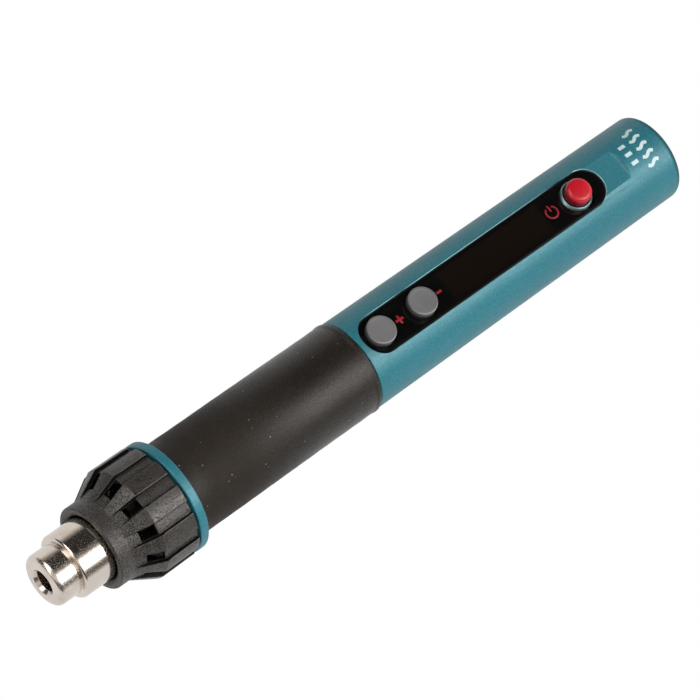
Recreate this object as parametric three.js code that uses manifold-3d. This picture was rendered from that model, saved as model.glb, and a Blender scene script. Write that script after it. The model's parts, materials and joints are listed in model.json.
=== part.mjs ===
// Pen-type handheld hot-air tool for electronics work.
// Millimetres, +Z up. The tool axis is X: the nozzle (front) points to -X, the rear end
// to +X, and the button panel faces +Z. The origin is on the axis, midway along the tool.
import * as THREE from 'three';
import * as BufferGeometryUtils from 'three/addons/utils/BufferGeometryUtils.js';
import Module from 'manifold-3d';

const wasm = await Module();
wasm.setup();
const { degToRad } = THREE.MathUtils;

// ---------------------------------------------------------------- dimensions
// Names ending in _X and _Z are places, _R radii, _T thicknesses and _W widths.
// X places are measured before the final shift that centres the tool.
const TIP_X = -129.2;                 // nozzle outlet face
const REAR_X = 128.4;                 // rear face

const NOZZLE_BORE_R = 4.0;
const NOZZLE_LIP_R = 6.4;             // flat annulus at the outlet
const NOZZLE_TIP_R = 8.9;
const NOZZLE_SHOULDER_X = -120.8;
const NOZZLE_SKIRT_R = 11.0;
const NOZZLE_SKIRT_X = -118.6;
const NOZZLE_REAR_X = -97.0;
const NOZZLE_SKIRT_BORE_R = 10.3;

const CAP_FRONT_X = -110.0;
const CAP_HOLE_R = 11.6;
const CAP_COLLAR_R = 14.5;
const CAP_COLLAR_BORE_R = 12.9;
const CAP_COLLAR_END_X = -104.7;
const CAP_RAMP_END_X = -95.9;
const CAP_R = 19.5;
const CAP_BORE_R = 17.3;
const CAP_REAR_R = 19.35;
const CAP_REAR_BORE_R = 16.4;
const CAP_REAR_X = -83.1;
const CAP_STEP_X = [-91.6, -90.6];    // inner step
const CAP_STEP_R = 15.0;
const CAP_GROOVES = 12;
const CAP_GROOVE_DEG = 12.5;
const CAP_GROOVE_DEPTH = 0.8;
const CAP_GROOVE_PHASE_DEG = 4.6;     // first groove from +Z, towards -Y
const CAP_WINDOW_X = [-101.1, -96.3];

const RING_FRONT_X = -81.9;
const RING_REAR_X = -78.9;
const RING_R = 19.2;
const RING_SPIGOT_R = 16.1;

const HEATER_R = 9.0;
const HEATER_BORE_R = 8.5;
const HEATER_BOLT_DEGS = [60, 180, 300];
const HEATER_BOLT_CIRCLE_R = 11.2;
const HEATER_BOLT_HOLE_R = 0.95;

const GRIP_FRONT_X = -78.6;
const GRIP_REAR_X = -4.1;
const GRIP_FRONT_R = 16.1;
const GRIP_REAR_R = 15.85;
const GRIP_BORE_R = 13.9;

const BODY_SPIGOT_R = 13.6;           // turned down under the grip
const BODY_FRONT_X = -77.0;
const BODY_SHOULDER_X = -3.8;
const BODY_FRONT_R = 15.65;
const BODY_REAR_R = 14.85;
const BODY_FILLET_R = 4.5;
const BODY_FILLET_STEPS = 3;
const BODY_BORE_R = 12.2;
const BODY_BORE_END_X = 122.2;
const BODY_REAR_HOLE_R = 10.0;

const FLAT_Z = 13.85;                 // milled flat around the panel
const FLAT_X = [40.0, 108.4];
const FLAT_RUN_OUT_END_X = FLAT_X[1] + 2.3;
const FLAT_RUN_OUT_Z = 15.3;
const FLAT_CUT_TOP_Z = 17.5;

const SLOT_X = [-1.8, 101.2];
const SLOT_W = 14.0;
const SLOT_FLOOR_Z = 12.3;
const SLOT_THROUGH_W = 12.0;
const SLOT_CUT_TOP_Z = 18;
const WINDOW_Z = [12.5, 13.6];
const WINDOW_GAP = 0.5;               // to the slot, all round

const PLUS_X = 5.3;
const MINUS_X = 22.8;
const POWER_X = 90.4;
const BUTTONS = [['plus', PLUS_X], ['minus', MINUS_X]];
const BUTTON_R = 4.95;
const BUTTON_TOP_Z = 16.7;
const BUTTON_CHAMFER = 0.4;
const BUTTON_HOLE_R = 5.3;
const POWER_BUTTON_R = 4.25;
const POWER_BUTTON_TOP_Z = 18.2;
const BEZEL_R = 5.6;
const BEZEL_BORE_R = 4.6;
const BEZEL_TOP_Z = 14.2;

const BOARD_TOP_Z = 6.0;
const BOARD_T = 1.2;
const BOARD_BOTTOM_Z = BOARD_TOP_Z - BOARD_T;
const BOARD_X = [0.5, 111.5];
const BOARD_HALF_W = 10.2;
const BOARD_SCREW_X = [14.0, 101.5];
const PART_GAP = 0.1;                 // between the board and the parts on it

const CHASSIS_X = [-18.0, 118.6];
const CHASSIS_R = 11.9;
const CHASSIS_BORE_R = 10.9;
const GRUB_SCREW_X = -12;

const INLET_FLANGE_R = 6.2;
const INLET_PINS = [['line', 0], ['neutral', 120], ['earth', 240]]; // name, degrees
const INLET_PIN_CIRCLE_R = 2.6;

const LEAD_DEGS = [150, 180, 210];    // heater and sensor leads, from +Z towards -Y
const LEAD_R = 0.5;
const LEAD_SIDES = 5;

// ---------------------------------------------------------------- materials
const FINISH = {
  nickel: { color: 0xc9beb2, roughness: 0.28, metalness: 1.0 },
  spring: { color: 0xa8a8ac, roughness: 0.35, metalness: 1.0 },
  capPlastic: { color: 0x3a3836, roughness: 0.62, metalness: 0.0 },
  teal: { color: 0x4f909c, roughness: 0.42, metalness: 0.35 },
  ringTeal: { color: 0x46929f, roughness: 0.4, metalness: 0.35 },
  rubber: { color: 0x322f2b, roughness: 0.85, metalness: 0.0 },
  steel: { color: 0x9a9a9c, roughness: 0.4, metalness: 0.9 },
  mica: { color: 0xc2b48a, roughness: 0.6, metalness: 0.1 },
  ceramic: { color: 0xe6e0d2, roughness: 0.75, metalness: 0.0 },
  nichrome: { color: 0x6b6660, roughness: 0.45, metalness: 0.9 },
  brass: { color: 0xc9a850, roughness: 0.3, metalness: 1.0 },
  silicone: { color: 0xa34a3c, roughness: 0.8, metalness: 0.0 },
  blackPlastic: { color: 0x1c1c1e, roughness: 0.5, metalness: 0.0 },
  nylon: { color: 0x2b2b2d, roughness: 0.55, metalness: 0.0 },
  fan: { color: 0x18181a, roughness: 0.45, metalness: 0.0 },
  acrylic: { color: 0x0c0a08, roughness: 0.08, metalness: 0.0 },
  buttonGrey: { color: 0x696969, roughness: 0.55, metalness: 0.0 },
  red: { color: 0xc81e32, roughness: 0.35, metalness: 0.0 },
  chrome: { color: 0xcfd4d6, roughness: 0.12, metalness: 1.0 },
  pcb: { color: 0x1f5d3a, roughness: 0.5, metalness: 0.0 },
  chip: { color: 0x141416, roughness: 0.45, metalness: 0.0 },
  yellowFilm: { color: 0xc7a52c, roughness: 0.4, metalness: 0.0 },
  ferrite: { color: 0x3b3a3c, roughness: 0.7, metalness: 0.1 },
  wireRed: { color: 0xb02a22, roughness: 0.5, metalness: 0.0 },
  wireBlue: { color: 0x2a4fa0, roughness: 0.5, metalness: 0.0 },
  wireGreen: { color: 0x4f9a35, roughness: 0.5, metalness: 0.0 },
  wireWhite: { color: 0xe2ded4, roughness: 0.6, metalness: 0.0 },
};

// ---------------------------------------------------------------- solids
function toManifold(geometry) {
  const soup = geometry.index ? geometry.toNonIndexed() : geometry.clone();
  soup.deleteAttribute('normal');
  soup.deleteAttribute('uv');
  const merged = BufferGeometryUtils.mergeVertices(soup, 1e-4);
  const triangles = [];
  // leave out triangles that merging has collapsed
  for (let i = 0; i < merged.index.count; i += 3) {
    const corners = [0, 1, 2].map((k) => merged.index.getX(i + k));
    if (new Set(corners).size === 3) triangles.push(...corners);
  }
  return new wasm.Manifold(new wasm.Mesh({
    numProp: 3,
    vertProperties: new Float32Array(merged.attributes.position.array),
    triVerts: new Uint32Array(triangles),
  }));
}

function fromManifold(solid) {
  const { vertProperties, triVerts } = solid.getMesh();
  const geometry = new THREE.BufferGeometry();
  const positions = new Float32Array(vertProperties);
  geometry.setAttribute('position', new THREE.BufferAttribute(positions, 3));
  geometry.setIndex(new THREE.BufferAttribute(new Uint32Array(triVerts), 1));
  geometry.computeVertexNormals();
  return geometry;
}

// Booleans take geometries or solids and return a solid.
const asSolid = (shape) => (shape.isBufferGeometry ? toManifold(shape) : shape);
const union = (first, ...rest) => rest.reduce((sum, s) => sum.add(asSolid(s)), asSolid(first));
const cut = (first, ...rest) => rest.reduce((left, s) => left.subtract(asSolid(s)), asSolid(first));

// ---------------------------------------------------------------- shape helpers
const times = (count, make) => Array.from({ length: count }, (_, i) => make(i));

// [y, z] at an angle from +Z towards -Y.
function polar(deg, r) {
  const angle = degToRad(deg);
  return [-r * Math.sin(angle), r * Math.cos(angle)];
}

// Lathe about Y through [radius, height] pairs; closed unless both ends are on the axis.
function lathe(points, segments) {
  const profile = points.map(([r, height]) => new THREE.Vector2(r, height));
  const onAxis = profile[0].x === 0 && profile[profile.length - 1].x === 0;
  if (!onAxis) profile.push(profile[0].clone());
  return new THREE.LatheGeometry(profile, segments);
}

// Piece turned about X. Points are [x, r] pairs, along the outside from front to rear
// and back along the bore. Vertices fall on +Z first and run towards -Y.
function turned(points, segments) {
  return lathe(points.map(([x, r]) => [r, x]), segments)
    .applyMatrix4(new THREE.Matrix4().makeBasis(
      new THREE.Vector3(0, -1, 0),
      new THREE.Vector3(1, 0, 0),
      new THREE.Vector3(0, 0, 1),
    ));
}

// Turned tube, or a full cylinder where the inner radius is 0.
function tube(x0, x1, innerR, outerR, segments) {
  return turned([[x0, innerR], [x0, outerR], [x1, outerR], [x1, innerR]], segments);
}

// Turned piece with a vertical axis. Points are [r, z] pairs.
function upright(points, x, segments, y = 0) {
  return lathe(points, segments).rotateX(Math.PI / 2).translate(x, y, 0);
}

// Upright cylinder.
function post(r, z0, z1, x, segments, y) {
  return upright([[0, z0], [r, z0], [r, z1], [0, z1]], x, segments, y);
}

// Cylinder along X.
function rod(x0, x1, r, segments, y = 0, z = 0) {
  return new THREE.CylinderGeometry(r, r, x1 - x0, segments)
    .rotateZ(-Math.PI / 2)
    .translate((x0 + x1) / 2, y, z);
}

// Eight-sided cylinder along Y, on the line of the two grub screws.
function grubCylinder(r, length, y) {
  return new THREE.CylinderGeometry(r, r, length, 8).translate(GRUB_SCREW_X, y, 0);
}

function box(x0, x1, y0, y1, z0, z1) {
  return new THREE.BoxGeometry(x1 - x0, y1 - y0, z1 - z0)
    .translate((x0 + x1) / 2, (y0 + y1) / 2, (z0 + z1) / 2);
}

// Box standing on the tool axis between two radii, turned from +Z towards -Y.
function radialBox(deg, x0, x1, halfWidth, r0, r1) {
  return box(x0, x1, -halfWidth, halfWidth, r0, r1).rotateX(degToRad(deg));
}

function closedShape(points) {
  const shape = new THREE.Shape(points.map(([x, y]) => new THREE.Vector2(x, y)));
  shape.closePath();
  return shape;
}

// Closed outline of points [r cos, r sin], with the radius as a function of the angle.
function roundShape(count, radiusAt) {
  return closedShape(times(count, (i) => {
    const angle = (i / count) * Math.PI * 2;
    const r = radiusAt(angle);
    return [r * Math.cos(angle), r * Math.sin(angle)];
  }));
}

// Prism with an [x, z] outline, centred across Y.
function sidePrism(points, width) {
  return new THREE.ExtrudeGeometry(closedShape(points), { depth: width, bevelEnabled: false })
    .translate(0, 0, -width / 2)
    .rotateX(Math.PI / 2);
}

// Upright prism with round ends along X.
function stadium(x0, x1, width, z0, z1) {
  const r = width / 2;
  const shape = new THREE.Shape();
  shape.moveTo(x0 + r, -r);
  shape.lineTo(x1 - r, -r);
  shape.absarc(x1 - r, 0, r, -Math.PI / 2, Math.PI / 2, false);
  shape.lineTo(x0 + r, r);
  shape.absarc(x0 + r, 0, r, Math.PI / 2, Math.PI * 1.5, false);
  const options = { depth: z1 - z0, bevelEnabled: false, curveSegments: 12 };
  return new THREE.ExtrudeGeometry(shape, options).translate(0, 0, z0);
}

function wireAlong(curve, r, steps, sides) {
  const section = roundShape(sides, () => r);
  return new THREE.ExtrudeGeometry(section, { steps, bevelEnabled: false, extrudePath: curve });
}

// Insulated lead on a smooth curve through points.
function lead(points, steps) {
  const places = points.map((point) => new THREE.Vector3(...point));
  const curve = new THREE.CatmullRomCurve3(places, false, 'centripetal');
  return wireAlong(curve, LEAD_R, steps, LEAD_SIDES);
}

const tool = new THREE.Group();

function add(name, shape, finish) {
  const geometry = shape.isBufferGeometry ? shape : fromManifold(shape);
  const mesh = new THREE.Mesh(geometry, new THREE.MeshStandardMaterial(finish));
  mesh.name = name;
  tool.add(mesh);
}

// ================================================================ front end
// Nozzle: round tip with a straight outlet bore, stepping up to a wide skirt around
// the heater barrel.
add('nozzle', turned([
  [TIP_X + 0.35, NOZZLE_BORE_R],
  [TIP_X, NOZZLE_BORE_R + 0.35],
  [TIP_X, NOZZLE_LIP_R],
  [TIP_X + 0.35, NOZZLE_LIP_R + 1.3],
  [TIP_X + 1.15, NOZZLE_LIP_R + 2.2],
  [TIP_X + 2.6, NOZZLE_TIP_R],
  [NOZZLE_SHOULDER_X, NOZZLE_TIP_R],
  [NOZZLE_SHOULDER_X + 0.5, NOZZLE_SKIRT_R - 0.75],
  [NOZZLE_SHOULDER_X + 1.2, NOZZLE_SKIRT_R - 0.2],
  [NOZZLE_SKIRT_X, NOZZLE_SKIRT_R],
  [NOZZLE_REAR_X, NOZZLE_SKIRT_R],
  [NOZZLE_REAR_X, NOZZLE_SKIRT_BORE_R],
  [NOZZLE_SKIRT_X + 1.6, NOZZLE_SKIRT_BORE_R],
  [NOZZLE_SHOULDER_X - 0.8, NOZZLE_BORE_R + 2.6],
  [NOZZLE_SHOULDER_X - 2.4, NOZZLE_BORE_R],
], 36), FINISH.nickel);

// Spring band between skirt and heater barrel, split at the bottom.
add('nozzle_clip', cut(
  tube(-107.0, -100.0, HEATER_R + 0.35, NOZZLE_SKIRT_BORE_R - 0.25, 24),
  box(-108, -99, -1.0, 1.0, -11, -8),
), FINISH.spring);

// Vent cap: collar, flared cone and fluted skirt. Each groove has a vent window on
// the cone.
function ventCap() {
  const shell = turned([
    [CAP_FRONT_X, CAP_HOLE_R],
    [CAP_FRONT_X, CAP_COLLAR_R - 1.3],
    [CAP_FRONT_X + 1.3, CAP_COLLAR_R],
    [CAP_COLLAR_END_X, CAP_COLLAR_R],
    [CAP_RAMP_END_X, CAP_R],
    [CAP_REAR_X, CAP_REAR_R],
    [CAP_REAR_X, CAP_REAR_BORE_R],
    [CAP_STEP_X[1], CAP_REAR_BORE_R],
    [CAP_STEP_X[1], CAP_STEP_R],
    [CAP_STEP_X[0], CAP_STEP_R],
    [CAP_STEP_X[0], CAP_BORE_R],
    [CAP_RAMP_END_X + 0.2, CAP_BORE_R],
    [CAP_COLLAR_END_X + 0.4, CAP_COLLAR_BORE_R],
    [CAP_FRONT_X + 2.2, CAP_COLLAR_BORE_R],
    [CAP_FRONT_X + 1.6, CAP_HOLE_R],
  ], 48);
  // the groove's floor follows the cone and then the skirt; it is open outwards
  const grooveOutline = [
    [CAP_COLLAR_END_X - 0.2, CAP_COLLAR_R - 0.02],
    [CAP_COLLAR_END_X + 0.3, CAP_COLLAR_R - 0.2],
    [CAP_WINDOW_X[0], CAP_COLLAR_R + 1.1],
    [CAP_RAMP_END_X + 0.6, CAP_R - CAP_GROOVE_DEPTH],
    [CAP_REAR_X + 1, CAP_REAR_R - CAP_GROOVE_DEPTH],
    [CAP_REAR_X + 1, CAP_R + 3],
    [CAP_COLLAR_END_X - 0.2, CAP_R + 3],
  ];
  const halfWidth = (CAP_R - 0.4) * Math.sin(degToRad(CAP_GROOVE_DEG / 2));
  const cutters = times(CAP_GROOVES, (i) => {
    const deg = CAP_GROOVE_PHASE_DEG + (360 / CAP_GROOVES) * i;
    return [
      sidePrism(grooveOutline, 2 * halfWidth).rotateX(degToRad(deg)),
      radialBox(deg, ...CAP_WINDOW_X, halfWidth - 0.25, 12.0, 21.0),
    ];
  });
  return cut(shell, ...cutters.flat());
}
add('vent_cap', ventCap(), FINISH.capPlastic);

// Washer between the cap's inner step and the collar ring's front spigot.
add('cap_washer', tube(-90.3, -89.5, 14.0, 16.0, 24), FINISH.spring);

const heaterBoltRods = (x0, x1, r) => HEATER_BOLT_DEGS.map(
  (deg) => rod(x0, x1, r, 8, ...polar(deg, HEATER_BOLT_CIRCLE_R)),
);

// Collar ring: disc with a front spigot for the cap and a rear spigot in the body tube.
add('collar_ring', cut(
  turned([
    [-89.2, 13.6], [-89.2, RING_SPIGOT_R], [RING_FRONT_X, RING_SPIGOT_R],
    [RING_FRONT_X, RING_R], [RING_REAR_X, RING_R],
    [RING_REAR_X, 12.0], [-68.0, 12.0], [-68.0, 10.4],
    [RING_REAR_X - 1.0, 10.4], [RING_REAR_X - 1.0, 9.6],
    [RING_FRONT_X, 9.6], [RING_FRONT_X, 13.6],
  ], 40),
  ...heaterBoltRods(RING_FRONT_X - 1, RING_REAR_X - 0.6, HEATER_BOLT_HOLE_R),
), FINISH.ringTeal);

// Heater barrel with its mounting flange.
add('heater_tube', cut(
  turned([
    [-113.0, HEATER_BORE_R], [-113.0, HEATER_R], [-83.6, HEATER_R], [-83.6, 13.2],
    [-82.2, 13.2], [-82.2, HEATER_R], [-66.0, HEATER_R], [-66.0, HEATER_BORE_R],
  ], 28),
  ...heaterBoltRods(-85, -81, HEATER_BOLT_HOLE_R),
), FINISH.steel);

const heaterScrewHeads = heaterBoltRods(-85.2, -83.9, 1.7);
const heaterScrewShanks = heaterBoltRods(-84.0, -79.9, 0.75);
heaterScrewHeads.forEach((head, i) => {
  add(`heater_screw_${i + 1}`, union(head, heaterScrewShanks[i]), FINISH.spring);
});

add('mica_sleeve', tube(-111.0, -68.0, 7.8, 8.2, 24), FINISH.mica);

// Six-lobed ceramic former with an axial bore for the sensor.
function ceramicFormer() {
  const section = roundShape(24, (angle) => 5.3 + 0.8 * Math.cos(6 * angle));
  const bore = new THREE.Path();
  bore.absarc(0, 0, 1.5, 0, Math.PI * 2, true);
  section.holes.push(bore);
  const options = { depth: 39, bevelEnabled: false, curveSegments: 6 };
  return toManifold(new THREE.ExtrudeGeometry(section, options)
    .rotateY(Math.PI / 2)
    .translate(-108.5, 0, 0));
}
add('ceramic_former', ceramicFormer(), FINISH.ceramic);

// Helix about X, starting on +Z.
class Helix extends THREE.Curve {
  constructor({ startX, endX, radius, turns }) {
    super();
    Object.assign(this, { startX, endX, radius, turns });
  }

  getPoint(t, target = new THREE.Vector3()) {
    const angle = t * this.turns * Math.PI * 2;
    return target.set(
      this.startX + (this.endX - this.startX) * t,
      this.radius * Math.sin(angle),
      this.radius * Math.cos(angle),
    );
  }
}
const coilCurve = new Helix({ startX: -106.5, endX: -73.0, radius: 6.95, turns: 8 });
add('heating_coil', wireAlong(coilCurve, 0.35, 80, 4), FINISH.nichrome);

add('thermocouple', turned([
  [-111.6, 0], [-111.4, 0.6], [-110.6, 1.0], [-66.5, 1.0], [-66.5, 0],
], 14), FINISH.steel);

// ================================================================ handle shells
// Body tube: turned down under the grip, milled flat and slotted for the panel, with a
// rounded rear end and an opening for the rear plug.
function bodyTube() {
  const fillet = times(BODY_FILLET_STEPS + 1, (i) => {
    const angle = (i / BODY_FILLET_STEPS) * Math.PI / 2;
    return [
      REAR_X - BODY_FILLET_R + BODY_FILLET_R * Math.sin(angle),
      BODY_REAR_R - BODY_FILLET_R + BODY_FILLET_R * Math.cos(angle),
    ];
  });
  const shell = turned([
    [BODY_FRONT_X, BODY_BORE_R], [BODY_FRONT_X, BODY_SPIGOT_R],
    [BODY_SHOULDER_X, BODY_SPIGOT_R], [BODY_SHOULDER_X, BODY_FRONT_R],
    ...fillet,
    [REAR_X, BODY_REAR_HOLE_R],
    [BODY_BORE_END_X, BODY_REAR_HOLE_R], [BODY_BORE_END_X, BODY_BORE_R],
  ], 48);
  // milled flat with a sloped run-out at its rear end
  const flat = sidePrism([
    [FLAT_X[0], FLAT_CUT_TOP_Z],
    [FLAT_X[0], FLAT_Z],
    [FLAT_X[1], FLAT_Z],
    [FLAT_RUN_OUT_END_X, FLAT_RUN_OUT_Z],
    [FLAT_RUN_OUT_END_X, FLAT_CUT_TOP_Z],
  ], 32);
  return cut(
    shell,
    flat,
    stadium(...SLOT_X, SLOT_W, SLOT_FLOOR_Z, SLOT_CUT_TOP_Z),
    stadium(SLOT_X[0] + 1, SLOT_X[1] - 1, SLOT_THROUGH_W, 5, SLOT_CUT_TOP_Z),
    // two grub-screw holes hidden under the grip
    grubCylinder(1.05, 8, -13),
    grubCylinder(1.05, 8, 13),
  );
}
add('body_tube', bodyTube(), FINISH.teal);

add('grip_sleeve', turned([
  [GRIP_FRONT_X, GRIP_BORE_R], [GRIP_FRONT_X, GRIP_FRONT_R],
  [GRIP_REAR_X - 2.2, GRIP_REAR_R], [GRIP_REAR_X - 1.0, GRIP_REAR_R + 0.2],
  [GRIP_REAR_X, GRIP_REAR_R - 0.2], [GRIP_REAR_X, GRIP_BORE_R],
], 40), FINISH.rubber);

// ================================================================ air path
// Silicone duct from the fan to the heater, slotted where the three leads leave it.
add('air_duct', cut(
  turned([
    [-67.5, 9.3], [-67.5, 10.1], [-60.0, 10.1], [-52.5, 10.6],
    [-47.0, 10.6], [-47.0, 9.8], [-52.3, 9.8], [-59.8, 9.3],
  ], 20),
  ...LEAD_DEGS.map((deg) => radialBox(deg, -61.5, -53.0, 1.1, 8.0, 13.0)),
), FINISH.silicone);

// Fan housing: shell and motor hub joined by three ribs, grooved outside for the leads.
add('fan_housing', cut(
  union(
    tube(-46.6, -22.0, 9.7, 11.9, 28),
    tube(-31.5, -22.5, 4.7, 5.7, 16),
    ...[0, 120, 240].map((deg) => radialBox(deg, -30.0, -24.0, 0.7, 5.3, 10.2)),
  ),
  ...LEAD_DEGS.map((deg) => radialBox(deg, -50, -20, 0.95, 10.4, 13)),
), FINISH.nylon);

// Motor can with a smaller boss at the rear.
add('fan_motor', union(
  tube(-31.0, -14.0, 1.2, 4.4, 16),
  tube(-14.6, -12.6, 0, 2.4, 12),
), FINISH.steel);

add('fan_shaft', rod(-44.2, -15.2, 0.75, 8), FINISH.spring);

// Rotor: tapered hub with seven pitched flat blades.
function fanRotor() {
  const blades = 7;
  const pitch = degToRad(38);
  const hub = turned([
    [-44.8, 0.95], [-44.8, 2.6], [-43.2, 4.2], [-34.5, 4.6], [-34.5, 0.95],
  ], 16);
  return union(hub, ...times(blades, (i) => new THREE.BoxGeometry(8.6, 0.8, 5.2)
    .translate(0, 0, 6.4)
    .rotateZ(pitch)
    .translate(-39.3, 0, 0)
    .rotateX((i / blades) * Math.PI * 2)));
}
add('fan_rotor', fanRotor(), FINISH.fan);

// ================================================================ panel
// Window that fills the slot, with holes for the two buttons and the bezel.
add('display_window', cut(
  stadium(SLOT_X[0] + WINDOW_GAP, SLOT_X[1] - WINDOW_GAP, SLOT_W - 2 * WINDOW_GAP, ...WINDOW_Z),
  post(BUTTON_HOLE_R, 11, 15, PLUS_X, 24),
  post(BUTTON_HOLE_R, 11, 15, MINUS_X, 24),
  post(BEZEL_R + 0.3, 11, 15, POWER_X, 24),
), FINISH.acrylic);

// Plus and minus buttons, each with a flange below the window.
for (const [name, x] of BUTTONS) {
  add(`${name}_button`, upright([
    [0, 11.0], [2.2, 11.0], [2.2, 11.3], [5.75, 11.3], [5.75, 12.2], [BUTTON_R, 12.2],
    [BUTTON_R, BUTTON_TOP_Z - BUTTON_CHAMFER],
    [BUTTON_R - BUTTON_CHAMFER, BUTTON_TOP_Z],
    [0, BUTTON_TOP_Z],
  ], x, 28), FINISH.buttonGrey);
}

add('power_bezel', upright([
  [BEZEL_BORE_R, 10.9],
  [BEZEL_R, 10.9],
  [BEZEL_R, BEZEL_TOP_Z - 0.9],
  [BEZEL_BORE_R + 0.3, BEZEL_TOP_Z],
  [BEZEL_BORE_R, BEZEL_TOP_Z],
], POWER_X, 28), FINISH.chrome);

add('power_button', upright([
  [0, 11.9],
  [POWER_BUTTON_R, 11.9],
  [POWER_BUTTON_R, POWER_BUTTON_TOP_Z - 1.1],
  [POWER_BUTTON_R - 0.35, POWER_BUTTON_TOP_Z - 0.5],
  [POWER_BUTTON_R - 1.1, POWER_BUTTON_TOP_Z - 0.15],
  [POWER_BUTTON_R - 2.4, POWER_BUTTON_TOP_Z],
  [0, POWER_BUTTON_TOP_Z],
], POWER_X, 24), FINISH.red);

// ================================================================ electronics
// Parts on top of the board.
const ABOVE_Z = BOARD_TOP_Z + PART_GAP;

for (const [name, x] of BUTTONS) {
  add(`${name}_switch`, cut(
    box(x - 3, x + 3, -3, 3, ABOVE_Z, 9.6),
    post(1.85, 7.4, 12, x, 16),
  ), FINISH.chip);
  add(`${name}_plunger`, post(1.7, 8.3, 10.8, x, 14), FINISH.nylon);
}

add('power_switch', cut(
  box(POWER_X - 4.2, POWER_X + 4.2, -4.2, 4.2, ABOVE_Z, 9.4),
  box(POWER_X - 1.6, POWER_X + 1.6, -1.1, 1.1, BOARD_TOP_Z + 0.6, 12),
), FINISH.nylon);
add('power_plunger', box(POWER_X - 1.45, POWER_X + 1.45, -0.95, 0.95, 9.0, 11.7), FINISH.ceramic);

// Display block with a row of four shallow recesses in its top.
const RECESS_PITCH = 10.2;
add('display_module', cut(
  box(33.5, 77.5, -5.6, 5.6, ABOVE_Z, 12.0),
  ...times(4, (i) => box(36.0 + i * RECESS_PITCH, 44.4 + i * RECESS_PITCH, -4.4, 4.4, 11.5, 13)),
), FINISH.blackPlastic);

add('control_board', cut(
  box(...BOARD_X, -BOARD_HALF_W, BOARD_HALF_W, BOARD_BOTTOM_Z, BOARD_TOP_Z),
  ...BOARD_SCREW_X.map((x) => post(1.1, 2, 9, x, 8)),
), FINISH.pcb);

// Tray below the board, with two cross bars for the board screws and holes at its front
// end for the grub screws.
function chassis() {
  const seatZ = BOARD_BOTTOM_Z - 0.2;
  // the two cuts stop 0.1 apart, which leaves a thin full ring between them
  const tray = cut(
    tube(...CHASSIS_X, CHASSIS_BORE_R, CHASSIS_R, 28),
    box(-2.0, 121, -13, 13, seatZ, 13),
    box(-20, -2.1, -13, 13, 3.0, 13),
  );
  // bar ends are rounded to stay within the tray's wall
  const bars = BOARD_SCREW_X.map((x) => asSolid(box(x - 2.2, x + 2.2, -10.95, 10.95, 1.6, seatZ))
    .intersect(asSolid(rod(x - 3, x + 3, 11.4, 28))));
  return cut(
    union(tray, ...bars),
    ...BOARD_SCREW_X.map((x) => post(0.95, 0, 6, x, 8)),
    grubCylinder(0.9, 6, -12),
    grubCylinder(0.9, 6, 12),
    // opening in the floor at the front end
    box(-20, -6, -6.6, 6.6, -13, -8),
  );
}
add('chassis', chassis(), FINISH.nylon);

add('chassis_screw_left', grubCylinder(0.75, 2.6, 12.15), FINISH.spring);
add('chassis_screw_right', grubCylinder(0.75, 2.6, -12.15), FINISH.spring);

BOARD_SCREW_X.forEach((x, i) => {
  add(`board_screw_${i + 1}`, upright([
    [0, 2.0], [0.8, 2.0], [0.8, 6.2], [1.75, 6.2], [1.75, 7.5], [0, 7.5],
  ], x, 8), FINISH.spring);
});

// Parts hanging under the board.
const UNDER_Z = BOARD_BOTTOM_Z - PART_GAP;

add('controller_chip', box(42, 49, -3.5, 3.5, UNDER_Z - 1.2, UNDER_Z), FINISH.chip);
add('power_triac', union(
  box(58, 68, -5, 5, UNDER_Z - 4.4, UNDER_Z - 0.2),
  box(68, 73, -5, 5, UNDER_Z - 1.5, UNDER_Z - 0.2),
), FINISH.chip);
add('film_capacitor', box(22, 37, -5.5, 5.5, UNDER_Z - 8.5, UNDER_Z), FINISH.yellowFilm);
add('supply_transformer', union(
  box(79, 95, -6, 6, UNDER_Z - 3.0, UNDER_Z),
  box(81, 93, -7.5, 7.5, UNDER_Z - 9.0, UNDER_Z - 3.0),
), FINISH.ferrite);
add('mains_fuse', rod(104.6, 111.0, 1.7, 12, -5.0, UNDER_Z - 1.9), FINISH.ceramic);
add('tilt_sensor', post(2.2, UNDER_Z - 5.5, UNDER_Z, 53.2, 14, 4.2), FINISH.steel);

// ================================================================ rear end
// Rear plug with eight intake slots around the inlet.
add('rear_plug', cut(
  turned([
    [119.6, 6.9], [119.6, 11.9], [121.9, 11.9], [121.9, 9.7],
    [REAR_X - 0.4, 9.7], [REAR_X, 9.3], [REAR_X, INLET_FLANGE_R + 0.5],
    [126.0, INLET_FLANGE_R + 0.3], [126.0, 5.6], [123.6, 5.6], [123.6, 6.9],
  ], 36),
  ...times(8, (i) => radialBox((i + 0.5) * 360 / 8, 118, 130, 1.0, 7.35, 8.85)),
), FINISH.blackPlastic);

// Cup open to the rear, with a flange at its rim and three pin holes in its floor.
const pinRod = (deg, x0, x1, r) => rod(x0, x1, r, 8, ...polar(deg, INLET_PIN_CIRCLE_R));
add('power_inlet', cut(
  turned([
    [114.0, 0], [114.0, 5.2], [126.2, 5.2], [126.2, INLET_FLANGE_R],
    [127.6, INLET_FLANGE_R], [128.0, INLET_FLANGE_R - 0.4],
    [128.0, 4.5], [117.5, 4.5], [117.5, 0],
  ], 28),
  ...INLET_PINS.map(([, deg]) => pinRod(deg, 113, 118, 0.75)),
), FINISH.chrome);

for (const [name, deg] of INLET_PINS) {
  add(`inlet_pin_${name}`, pinRod(deg, 112.6, 126.0, 0.6), FINISH.brass);
}

// Hexagon nut around the inlet.
add('inlet_nut', cut(rod(120.9, 123.3, 6.8, 6), rod(120, 124, 5.35, 20)), FINISH.brass);

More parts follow.
